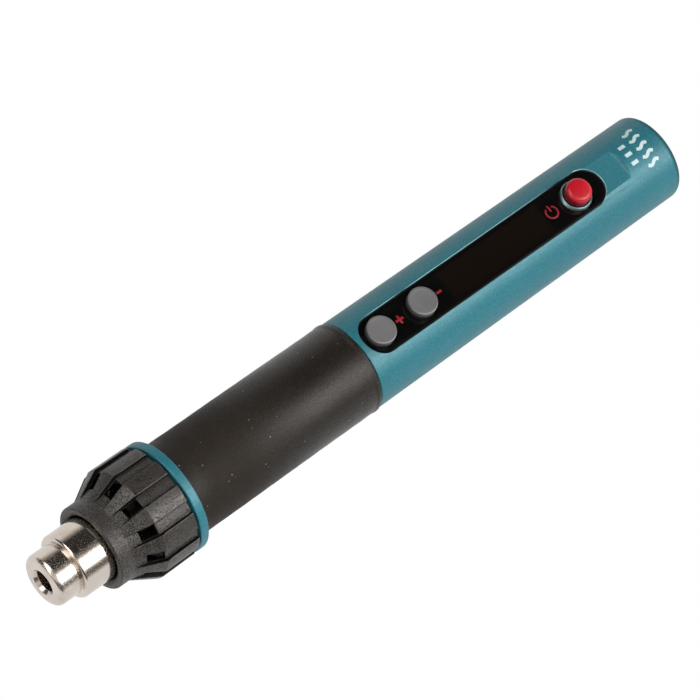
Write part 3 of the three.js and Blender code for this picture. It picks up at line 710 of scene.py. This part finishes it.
# ------------------------------------------------------------------ vent cap
RIB_COUNT = 12
RIB_PITCH = 360 // RIB_COUNT  # degrees
GROOVE_PHASE = 3.8            # degrees, first groove from +Z
WINDOW_X0, WINDOW_X1 = -100.9, -95.85
WINDOW_HALF_ANGLE = 5.72
ANGLE_R = 18.9                # radius at which the groove angles below are true
GROOVE_EDGE = 7.9             # degrees within which a groove keeps its width in mm
# groove floor: x stations and radii; no groove before the first
GROOVE_FLOOR = ((-104.9, -100.6, -95.4, -82.9), (14.48, 15.75, 18.45, 18.3))
# inside of the wall along the cone: x stations and radii
CAP_INSIDE = ((-104.3, -95.7), (12.9, 17.3))
# (x, radius) of the inner surface before and after the part that follows the outside
CAP_FRONT_LIP = [(-109.97, 12.95), (-109.85, 12.75), (-109.35, 11.75), (-109.2, 11.5),
                 (-108.9, 11.4), (-108.5, 11.4), (-108.4, 12.9)]
CAP_REAR_SEAT = [(-91.6, 17.3), (-91.6, 12.2), (-90.6, 12.2), (-90.6, 16.4), (-83.3, 16.4),
                 (-82.9, 16.8)]
# degrees from a groove's centre line where vertices are placed
HALF_ANGLES = [0.0, 1.6, 3.2, 4.8, 5.71, 5.9, 6.1, 6.22, 6.3, 6.6, 6.64, 6.74, 6.9, 7.1, 7.3,
               7.45, 7.9, 9.0, 11.0, 13.0]


def nearest(profile, x):
    return min(range(len(profile)), key=lambda i: abs(profile[i][0] - x))


def cap_outline():
    """(x, radius) of the cap's outside, front to rear, with rows on the window's ends."""
    points = fillet([
        (-110.0, 13.1), (-110.0, 14.5, 1.5), (-104.9, 14.5, 2.0), (-95.9, 19.5, 0.9),
        (-82.9, 19.35, 0.3), (-82.9, 18.9),
    ])
    outline = [points[0]]
    for p, q in zip(points, points[1:]):
        steps = max(1, int(math.ceil(math.hypot(q[0] - p[0], q[1] - p[1]) / 0.55)))
        outline += [(p[0] + (q[0] - p[0]) * i / steps, p[1] + (q[1] - p[1]) * i / steps)
                    for i in range(1, steps + 1)]
    for window_x in (WINDOW_X0, WINDOW_X1):
        k = nearest(outline, window_x)
        x, radius = outline[k]
        before, after = outline[k - 1], outline[k + 1]
        slope = (after[1] - before[1]) / (after[0] - before[0])
        outline[k] = (window_x, radius + slope * (window_x - x))
    return outline


def groove_depth(angle):
    """Share of the full groove depth at an angle in degrees from its centre line."""
    if angle >= 7.45:
        return 0.0
    if angle >= 6.6:
        u = (7.45 - angle) / 0.85
        return 0.30 * (1 - math.sqrt(max(0.0, 1 - u * u)))
    if angle >= 6.3:
        return 0.30 + 0.48 * (6.6 - angle) / 0.3
    if angle >= 5.75:
        u = (angle - 5.75) / 0.55
        return 1.0 - 0.22 * (1 - math.sqrt(max(0.0, 1 - u * u)))
    return 1.0


half_pitch = RIB_PITCH / 2
pitch_angles = [-half_pitch] + [-a for a in HALF_ANGLES[:0:-1]] + HALF_ANGLES
columns = [(k, angle) for k in range(RIB_COUNT) for angle in pitch_angles]
depth_shares = [groove_depth(abs(angle)) for _, angle in columns]
in_window = [abs(angle) <= WINDOW_HALF_ANGLE for _, angle in columns]


def row_angles(radius):
    """Column angles in radians at a radius; groove angles open up where it is smaller."""
    scale = ANGLE_R / max(radius, 14.3)
    edge = GROOVE_EDGE * scale
    angles = []
    for k, angle in columns:
        size = abs(angle)
        if size <= GROOVE_EDGE:
            size *= scale
        else:
            share = (size - GROOVE_EDGE) / (half_pitch - GROOVE_EDGE)
            size = edge + (half_pitch - edge) * share
        angles.append(math.radians(GROOVE_PHASE + RIB_PITCH * k + math.copysign(size, angle)))
    return angles


def outline_radius(outline, x):
    for (x0, r0), (x1, r1) in zip(outline, outline[1:]):
        if x0 <= x <= x1 and x1 > x0:
            return r0 + (r1 - r0) * (x - x0) / (x1 - x0)
    return 19.4


def vent_cap():
    outer = cap_outline()
    inner = CAP_FRONT_LIP + [(x, np.interp(x, *CAP_INSIDE))
                             for x in sorted({round(x, 5) for x, _ in outer})
                             if -107.7 < x < -91.7] + CAP_REAR_SEAT
    verts, outer_rows, inner_rows, faces = [], [], [], []

    def add_row(rows, points):
        rows.append(list(range(len(verts), len(verts) + len(points))))
        verts.extend(points)

    for x, radius in outer:
        full_depth = 0.0
        if x >= GROOVE_FLOOR[0][0]:
            full_depth = max(0.0, radius - np.interp(x, *GROOVE_FLOOR))
        add_row(outer_rows, [along_x(x, radius - share * full_depth, angle)
                             for angle, share in zip(row_angles(radius), depth_shares)])
    for x, radius in inner:
        add_row(inner_rows, [along_x(x, radius, angle)
                             for angle in row_angles(outline_radius(outer, x))])

    def band(row, other, i):
        k = (i + 1) % len(columns)
        faces.append((row[i], row[k], other[k], other[i]))

    # the two skins, left open at the windows
    outer0, outer1 = nearest(outer, WINDOW_X0), nearest(outer, WINDOW_X1)
    inner0, inner1 = nearest(inner, WINDOW_X0), nearest(inner, WINDOW_X1)
    window_columns = [in_window[i] and in_window[(i + 1) % len(columns)]
                      for i in range(len(columns))]
    for rows, first, last in ((outer_rows, outer0, outer1), (inner_rows, inner0, inner1)):
        for j in range(len(rows) - 1):
            for i in range(len(columns)):
                if not (first <= j < last and window_columns[i]):
                    band(rows[j], rows[j + 1], i)
    for i in range(len(columns)):
        band(outer_rows[0], inner_rows[0], i)
        band(outer_rows[-1], inner_rows[-1], i)

    # window walls: the outer and inner openings share rows where their x match
    inner_at = {round(inner[j][0], 4): j for j in range(inner0, inner1 + 1)}
    pairs = [(outer_rows[j], inner_rows[inner_at[round(outer[j][0], 4)]])
             for j in range(outer0, outer1 + 1) if round(outer[j][0], 4) in inner_at]
    for i in range(len(columns)):
        if window_columns[i]:
            band(outer_rows[outer0], inner_rows[inner0], i)
            band(outer_rows[outer1], inner_rows[inner1], i)
        if in_window[i] and not (window_columns[i] and in_window[i - 1]):
            for (out_a, in_a), (out_b, in_b) in zip(pairs, pairs[1:]):
                faces.append((out_a[i], out_b[i], in_b[i], in_a[i]))
    return mesh_object("vent_cap_moulding", verts, faces)


put(vent_cap(), "vent_cap", "cap_plastic", "vent_cap", angle=38)

# ------------------------------------------------------------------ collar ring
ring = revolve("collar_ring_turned", fillet([
    (-89.2, 13.6, 0.2), (-89.2, 16.1, 0.3), (-82.1, 16.1), (-82.1, 19.2, 0.55),
    (-78.9, 19.2, 0.4), (-78.9, 12.0), (-68.0, 12.0), (-68.0, 10.4), (-79.9, 10.4),
    (-79.9, 9.6), (-81.9, 9.6), (-81.9, 13.6),
]), 160)
put(ring, "handle", "ring_teal", "collar_ring")


# ------------------------------------------------------------------ grip
def grip_place(x, r, turn):
    """Around the handle axis, with the outside made slightly uneven like a stretched sleeve."""
    if r > 15:
        r += (0.035 * math.sin(x * 0.21 + 1.3 * math.sin(turn)) * math.cos(2 * turn + 0.05 * x)
              + 0.02 * math.sin(0.9 * x + 3 * turn))
        if x > -4.6:
            r += 0.03 * math.sin(7 * turn + 0.8)
        if x > -5.6:
            x += 0.06 * math.sin(3 * turn + 0.4) + 0.03 * math.sin(8 * turn)
    return along_x(x, r, turn)


def grip_profile():
    """Sleeve profile, with its outside divided into steps of about 1.2 mm."""
    points = fillet([
        (-78.6, 13.9), (-78.6, 16.15, 0.5), (-6.2, 15.86, 0.8), (-5.1, 16.1, 0.6),
        (-4.1, 16.0, 0.45), (-4.1, 13.9),
    ])
    dense = []
    for p, q in zip(points, points[1:] + points[:1]):
        steps = 1
        if min(p[1], q[1]) > 15:
            steps = max(1, int(math.hypot(q[0] - p[0], q[1] - p[1]) / 1.2))
        dense += [(p[0] + (q[0] - p[0]) * i / steps, p[1] + (q[1] - p[1]) * i / steps)
                  for i in range(steps)]
    return dense


grip = revolve("grip_sleeve_rubber", grip_profile(), 144, grip_place)
put(grip, "handle", "rubber_grip", "grip_sleeve")

# ------------------------------------------------------------------ body tube
body = revolve("body_tube_shell", fillet([
    (-77.0, 12.2), (-77.0, 13.6, 0.3), (BODY_SHOULDER_X, 13.6),
    (BODY_SHOULDER_X, BODY_FRONT_R, 0.3), (X_REAR, 14.82, BODY_FILLET), (X_REAR, 10.0, 0.3),
    (122.2, 10.0), (122.2, 12.2),
]), 180)

# side view (x, z) of the flat's cutter; the flat runs out upwards at its rear end
RUNOUT_X, RUNOUT_LENGTH, RUNOUT_RISE = 109.5, 1.4, 1.5
flat_side = [(30.0, 18.0), (30.0, FLAT_Z), (RUNOUT_X, FLAT_Z)]
for i in range(1, 9):
    t = i / 8
    flat_side.append((RUNOUT_X + RUNOUT_LENGTH * t,
                      FLAT_Z + RUNOUT_RISE * (0.4 * t + 0.6 * t * t)))
flat_side.append((110.9, 18.0))
subtract(body, [
    prism("flat_cutter", [(x, -17.0, z) for x, z in flat_side],
          [(x, 17.0, z) for x, z in flat_side]),
    upright_prism("slot_cutter", slot_outline(steps=36), SLOT_FLOOR_Z, 19.0),
    upright_prism("opening_cutter", slot_outline(inset=1.0, steps=24), 4.0, 19.0),
])

SLOT_END_R = SLOT_W / 2
SLOT_ARC_X0, SLOT_ARC_X1 = SLOT_X0 + SLOT_END_R, SLOT_X1 - SLOT_END_R


def on_slot_wall(point):
    nearest_x = min(max(point.x, SLOT_ARC_X0), SLOT_ARC_X1)
    return abs(math.hypot(point.x - nearest_x, point.y) - SLOT_END_R) < 0.03


def bevel_slot_rim(obj):
    """Narrow bevel around the slot's upper edge: material 1, bare metal, and 2 at its rear end,
    a lighter copy that paints a highlight there.
    """
    bm = bmesh.new()
    bm.from_mesh(obj.data)
    bmesh.ops.remove_doubles(bm, verts=bm.verts, dist=2e-3)
    rim = []
    for edge in bm.edges:
        if len(edge.link_faces) != 2 or edge.calc_face_angle(0.0) < math.radians(30):
            continue
        ends = [vert.co for vert in edge.verts]
        if all(end.z > 13.2 and on_slot_wall(end) for end in ends):
            rim.append(edge)
    bevel = bmesh.ops.bevel(bm, geom=rim, offset=0.13, offset_type="OFFSET", segments=1,
                            profile=0.5, affect="EDGES", clamp_overlap=False)
    for face in bm.faces:
        face.material_index = 0
    for face in bevel["faces"]:
        centre = face.calc_center_median()
        if centre.z > 12.9:
            face.material_index = 2 if centre.x > SLOT_ARC_X1 + 1.5 else 1
    bmesh.ops.remove_doubles(bm, verts=bm.verts, dist=1e-3)
    bm.to_mesh(obj.data)
    bm.free()


bevel_slot_rim(body)
put(body, "handle", "teal_paint", "body_tube", angle=13, extra=("bare_edge", "bare_edge_rear"))

# ------------------------------------------------------------------ panel
key_holes = [circle(PLUS_X, 5.3), circle(MINUS_X, 5.3), circle(POWER_X, 5.9)]
panel = plate("display_window_lens", [slot_outline(inset=0.5)] + key_holes,
              12.5, PANEL_TOP_Z, bevel=0.12)
put(panel, "handle", "panel_acrylic", "display_window", angle=45)

# thin black ring at the bottom of the gap between the panel and its slot: painted shade that
# keeps the gap dark
gap_shade_ring = plate("panel_gap_shade", [slot_outline(inset=0.04), slot_outline(inset=0.46)],
             12.42, 12.9, bevel=0.03, steps=1)
put(gap_shade_ring, "handle", "black_plastic", angle=45)

# ------------------------------------------------------------------ keys
# (z, radius, corner radius) of the grey keys, with a slight dish in the top
GREY_KEY = [
    (11.0, 0.0), (11.0, 2.2), (11.3, 2.2), (11.3, 5.75), (12.2, 5.75), (12.2, 4.95),
    (16.7, 4.88, 0.42), (16.7, 3.9, 0.2), (16.64, 3.6, 0.2), (16.64, 0.0),
]
for sign, key_x in (("plus", PLUS_X), ("minus", MINUS_X)):
    key = revolve(f"{sign}_key_cap", fillet(GREY_KEY), 96, upright_at(key_x))
    put(key, f"{sign}_button", "button_grey", f"{sign}_button", angle=40)

RED_KEY_R, RED_KEY_TOP, RED_KEY_CROWN = 4.36, 18.0, 0.28


def crowned(z, radius):
    return z + RED_KEY_CROWN * (1 - min(1.0, radius / RED_KEY_R) ** 2)


def red_key_profile():
    """(z, radius): straight skirt, soft edge, slightly crowned top."""
    side = fillet([(11.9, 0.0), (11.9, 4.38), (17.95, RED_KEY_R, 1.4), (RED_KEY_TOP, 0.0)])[:-1]
    top_radii = np.linspace(side[-1][1], 0.0, 7)[1:].tolist()
    return ([(crowned(z, r) if z > 15.5 else z, r) for z, r in side]
            + [(crowned(RED_KEY_TOP, r), r) for r in top_radii])


red_key = revolve("power_key_cap", red_key_profile(), 96, upright_at(POWER_X))
put(red_key, "power_button", "button_red", "power_button", angle=40)

# ring that slopes down and out from the red key: (z, radius, corner radius)
bezel = revolve("power_key_bezel", fillet([
    (10.9, 4.62), (10.9, 5.55), (13.3, 5.55, 0.2), (14.15, 4.9, 0.3), (14.15, 4.62, 0.1),
]), 128, upright_at(POWER_X))
put(bezel, "handle", "chrome", "power_bezel", angle=40)

# ------------------------------------------------------------------ marks on the panel
POWER_MARK_X = 79.7
ARC_OUTER_R, ARC_INNER_R = 2.35, 1.78
ARC_GAP = math.radians(32)  # half of the opening at the bar
BAR_HALF_WIDTH = 0.29


def mark_arc(radius, start, end):
    return [(POWER_MARK_X + radius * math.sin(turn), radius * math.cos(turn))
            for turn in np.linspace(start, end, 48)]


MARKS = {
    "plus": cross(13.8, span=3.1, width=0.82),
    "minus": rectangle(29.5, 31.6, -0.4, 0.4),
    "power_arc": (mark_arc(ARC_OUTER_R, ARC_GAP, 2 * math.pi - ARC_GAP)
                  + mark_arc(ARC_INNER_R, 2 * math.pi - ARC_GAP, ARC_GAP)),
    "power_bar": rectangle(POWER_MARK_X - BAR_HALF_WIDTH, POWER_MARK_X + BAR_HALF_WIDTH,
                           0.35, 2.65),
}
for mark_name, outline in MARKS.items():
    mark = plate(f"mark_{mark_name}", [outline], 13.585, 13.625, bevel=0.008, steps=1)
    put(mark, "handle", "panel_acrylic", material="glyph_red", angle=45)


# ------------------------------------------------------------------ airflow mark near the rear
def printed(name, centre_line, width):
    """Stroke printed on the tube along (x, arc length from the top) points."""
    points = np.array(centre_line, float)
    along = np.gradient(points, axis=0)
    along /= np.linalg.norm(along, axis=1)[:, None]
    across = np.stack([-along[:, 1], along[:, 0]], 1)
    left, right = points + across * width / 2, points - across * width / 2
    # the five lines round the stroke's section, with their height over the tube
    section = ((left, 0.02), (points, 0.03), (right, 0.02), (right, -0.05), (left, -0.05))
    verts, faces = [], []
    for line, lift in section:
        for x, arc in line:
            radius = body_radius(x)
            verts.append(along_x(x, radius + lift, arc / radius))
    count = len(points)
    for i in range(count - 1):
        for a, b in ((0, 1), (1, 2), (2, 3), (3, 4), (4, 0)):
            faces.append((a * count + i, b * count + i, b * count + i + 1, a * count + i + 1))
    faces.append(tuple(k * count for k in range(5)))
    faces.append(tuple(k * count + count - 1 for k in range(5)))
    put(mesh_object(name, verts, faces), "handle", "teal_paint", material="white_ink", angle=60)


PRINT_CENTRE = -0.8  # arc length from the top
STROKE_PITCH = 3.3
for i in range(5):
    middle = PRINT_CENTRE + STROKE_PITCH * (i - 2)
    printed(f"print_wave_{i + 1}",
            [(117.4 + 4.5 * t, middle + 0.55 * math.sin(2 * math.pi * t))
             for t in np.linspace(0, 1, 36)], width=1.15)
for i in range(3):
    middle = PRINT_CENTRE + STROKE_PITCH * (i - 1)
    printed(f"print_bar_{i + 1}",
            [(112.6 + 2.6 * t, middle) for t in np.linspace(0, 1, 12)], width=1.3)

# ------------------------------------------------------------------ rear plug
PLUG_SLOTS = 8
PLUG_SLOT_R0, PLUG_SLOT_R1 = 7.35, 8.85
PLUG_SLOT_HALF = math.radians(11.5)
plug = revolve("rear_plug_moulding", fillet([
    (119.6, 6.9), (119.6, 11.9), (121.9, 11.9), (121.9, 9.7), (X_REAR, 9.7, 0.35),
    (X_REAR, 6.8, 0.25), (126.0, 6.5), (126.0, 5.6), (123.6, 5.6), (123.6, 6.9),
]), 144)
cutters = []
for i in range(PLUG_SLOTS):
    middle = (i + 0.5) / PLUG_SLOTS * 2 * math.pi
    turns = np.linspace(middle - PLUG_SLOT_HALF, middle + PLUG_SLOT_HALF, 9)
    back_turns = np.linspace(middle + PLUG_SLOT_HALF, middle - PLUG_SLOT_HALF, 9)
    section = ([(PLUG_SLOT_R1, turn) for turn in turns]
               + [(PLUG_SLOT_R0, turn) for turn in back_turns])
    cutters.append(prism(f"plug_slot_{i}", [along_x(118.0, r, turn) for r, turn in section],
                         [along_x(131.0, r, turn) for r, turn in section]))
subtract(plug, cutters)
put(plug, "handle", "black_plastic", "rear_plug")

# ------------------------------------------------------------------ power inlet
PIN_CIRCLE_R = 2.6
inlet = revolve("power_inlet_shell", fillet([
    (114.0, 0.0), (114.0, 5.2), (126.2, 5.2), (126.2, 6.2, 0.1), (128.0, 6.2, 0.3),
    (128.0, 4.5, 0.3), (117.5, 4.5), (117.5, 0.0),
]), 112)
pin_profile = fillet([(112.6, 0.0), (112.6, 0.6), (126.0, 0.6, 0.5), (126.0, 0.0)])
cutters = []
for k, pin_name in enumerate(("line", "neutral", "earth")):
    pin_place = parallel_x(PIN_CIRCLE_R, math.radians(120 * k))
    cutters.append(peg(f"pin_hole_{k}", 113.0, 118.0, 0.72, pin_place))
    pin = revolve(f"contact_{pin_name}", pin_profile, 32, pin_place)
    put(pin, "handle", "brass", f"inlet_pin_{pin_name}")
subtract(inlet, cutters)
put(inlet, "handle", "chrome", "power_inlet")

# ------------------------------------------------------------------ heater barrel in the cap
FLANGE_HOLE_CIRCLE_R = 11.2
barrel = revolve("heater_barrel", fillet([
    (-113.0, 8.5), (-113.0, 9.0, 0.15), (-83.6, 9.0), (-83.6, 13.2), (-82.2, 13.2),
    (-82.2, 9.0), (-66.0, 9.0), (-66.0, 8.5),
]), 112)
subtract(barrel, [
    peg(f"flange_hole_{k}", -85.0, -81.0, 0.92,
        parallel_x(FLANGE_HOLE_CIRCLE_R, math.radians(120 * k + 60)))
    for k in range(3)])
put(barrel, "handle", "steel", "heater_tube")

# ------------------------------------------------------------------ camera
# how the handle lies in the camera's view: +X points up to the right and away
AWAY = math.radians(26.3)
ROLL = math.radians(13.0)    # about the handle axis
UPWARD = math.radians(35.1)  # from the picture's horizontal
ORIGIN_SEEN = Vector((2.213, -3.522, -1711.8))  # drawing origin in camera space, mm

x_seen = Vector((math.cos(AWAY) * math.cos(UPWARD), math.cos(AWAY) * math.sin(UPWARD),
                 -math.sin(AWAY)))
# both square to the handle: one to the lower right in the picture, one to the camera
across_seen = Vector((math.sin(UPWARD), -math.cos(UPWARD), 0.0))
facing_seen = Vector((math.sin(AWAY) * math.cos(UPWARD), math.sin(AWAY) * math.sin(UPWARD),
                      math.cos(AWAY)))
z_seen = (math.cos(ROLL) * facing_seen - math.sin(ROLL) * across_seen).normalized()
y_seen = z_seen.cross(x_seen).normalized()
to_frame = Matrix((x_seen, y_seen, z_seen))
camera_matrix = to_frame.to_4x4()
camera_matrix.translation = -(to_frame @ ((ORIGIN_SEEN - OFFSET * x_seen) * MM))
camera_data = bpy.data.cameras.new("camera")
camera_data.lens = 282.857143
camera_data.sensor_width = 36.0
camera_data.clip_start, camera_data.clip_end = 0.05, 20.0
camera = bpy.data.objects.new("camera", camera_data)
camera.matrix_world = camera_matrix
scene.collection.objects.link(camera)
scene.camera = camera

# ------------------------------------------------------------------ studio light
# Tables of (degrees around the handle, radiance): 0 is towards the camera, positive is
# towards the lower right of the picture.
PEAK = 5.4
# mirror-like surfaces: key softbox just right of the camera, dark gaps either side, pale table
MIRROR_SIDE = [
    (-180, .86), (-98, .84), (-88, .74), (-77, .30), (-66, .04), (-20, .03), (-8, .12),
    (1, .3), (10, 1.8), (17, 5.4), (32, 5.4), (41, 2.4), (48, .34), (56, .15), (66, .17),
    (73, .55), (79, .9), (180, .86)]
MIRROR_FRONT = [
    (-180, .62), (-112, .55), (-100, .06), (-68, .05), (-58, 2.6), (-30, 2.8), (-20, .5),
    (-8, .25), (2, .5), (10, .8), (34, .8), (44, .25), (52, .08), (94, .07), (106, .5),
    (180, .62)]
MIRROR_BACK = [
    (-180, .4), (-100, .1), (-40, .5), (0, .9), (20, .9), (40, .1), (100, .1), (180, .4)]
# matt surfaces: the same key, little else in front, a fill from behind and below
MATT_BACK = [
    (-180, 1.5), (-150, .9), (-128, .12), (-100, .05), (-14, .05), (-3, 3.9), (2, 4.8),
    (28, 4.8), (36, 3.4), (52, .8), (64, .05), (110, .05), (130, .12), (150, .9), (180, 1.5)]
MATT_FRONT = [
    (-180, 1.5), (-150, .9), (-128, .12), (-70, .05), (-58, .35), (-28, .35), (-14, .2),
    (0, 1.2), (28, 1.2), (52, .25), (64, .05), (110, .05), (130, .12), (150, .9), (180, 1.5)]


def light(*radiance):
    """Radiance, grey or RGB, as a colour scaled to the peak."""
    if len(radiance) == 1:
        radiance *= 3
    return (*(value / PEAK for value in radiance), 1.0)


def studio(graph, direction, stops):
    """Scaled radiance from a table over the angle around the handle."""
    angle = graph.math("ARCTAN2", graph.dot(direction, tuple(to_frame @ across_seen)),
                       graph.dot(direction, tuple(to_frame @ facing_seen)))
    ramp = graph.node("ShaderNodeValToRGB")
    graph.feed(ramp.inputs["Fac"], graph.remap(angle, (-math.pi, math.pi)))
    elements = ramp.color_ramp.elements
    while len(elements) > 1:
        elements.remove(elements[-1])
    elements[0].position = (stops[0][0] + 180.0) / 360.0
    elements[0].color = light(stops[0][1])
    for degrees, radiance in stops[1:]:
        elements.new((degrees + 180.0) / 360.0).color = light(radiance)
    return ramp.outputs["Color"]


# ------------------------------------------------------------------ floor
# it slopes so that the cap and the rear of the tube both rest on it
FLOOR_HALF = 1.6  # metres
FLOOR_TILT = math.atan((19.5 - BODY_REAR_R) / (124.7 + 90.0))

floor_mesh = bpy.data.meshes.new("floor")
floor_mesh.from_pydata([(x * FLOOR_HALF, y * FLOOR_HALF, 0)
                        for x, y in ((-1, -1), (1, -1), (1, 1), (-1, 1))], [], [(0, 1, 2, 3)])
floor = bpy.data.objects.new("floor", floor_mesh)
floor.matrix_world = (Matrix.Translation((-0.090 + OFFSET * MM, 0, -0.01953))
                      @ Matrix.Rotation(-FLOOR_TILT, 4, "Y"))
scene.collection.objects.link(floor)


def floor_white():
    """White to the camera, a fading sheet to mirrors, the studio's matt light to matt faces."""
    m = Mat("floor_white", (0.0, 0.0, 0.0, 1), 0.9)
    geometry = m.node("ShaderNodeNewGeometry").outputs
    outgoing = m.node("ShaderNodeVectorMath", operation="SCALE")
    outgoing.inputs["Scale"].default_value = -1.0
    m.feed(outgoing.inputs[0], geometry["Incoming"])
    matt = studio(m, outgoing.outputs["Vector"], MATT_BACK)
    x = m.split(geometry["Position"])[0]
    sheet = m.mix(m.ease(x, -0.42, -0.22), light(0.07), light(0.86))
    ray = m.node("ShaderNodeLightPath").outputs
    emission = m.mix(ray["Is Diffuse Ray"], sheet, matt)
    emission = m.mix(ray["Is Camera Ray"], emission, light(1))
    m.set("Specular IOR Level", 0.0)
    m.set("Emission Color", emission)
    m.set("Emission Strength", PEAK)
    m.material.cycles.emission_sampling = "NONE"
    return m.material


floor.data.materials.append(floor_white())


# ------------------------------------------------------------------ world
def build_world():
    world = bpy.data.worlds.new("studio")
    scene.world = world
    world.use_nodes = True
    world.cycles.sampling_method = "NONE"
    g = Graph(world.node_tree)
    direction = g.node("ShaderNodeTexCoord").outputs["Generated"]
    # component along the handle: negative is beyond the nozzle, positive beyond the inlet
    axial = g.dot(direction, (1, 0, 0))
    side, front, behind, matt_back, matt_front = [
        studio(g, direction, stops)
        for stops in (MIRROR_SIDE, MIRROR_FRONT, MIRROR_BACK, MATT_BACK, MATT_FRONT)]
    mirror = g.mix(g.ease(axial, 0.0, -0.25), side, front)
    mirror = g.mix(g.ease(axial, 0.62, 0.85), mirror, behind)
    matt = g.mix(g.ease(axial, 0.1, -0.1), matt_back, matt_front)
    matt = g.mix(g.ease(axial, 0.6, 0.8), matt, light(0.3))
    ray = g.node("ShaderNodeLightPath").outputs
    color = g.mix(ray["Is Diffuse Ray"], g.tint(mirror, (1.05, 1.0, 0.95, 1.0)), matt)
    color = g.mix(ray["Is Camera Ray"], color, light(0.93, 0.935, 0.94))
    background = world.node_tree.nodes["Background"]
    g.feed(background.inputs["Color"], color)
    background.inputs["Strength"].default_value = PEAK


build_world()
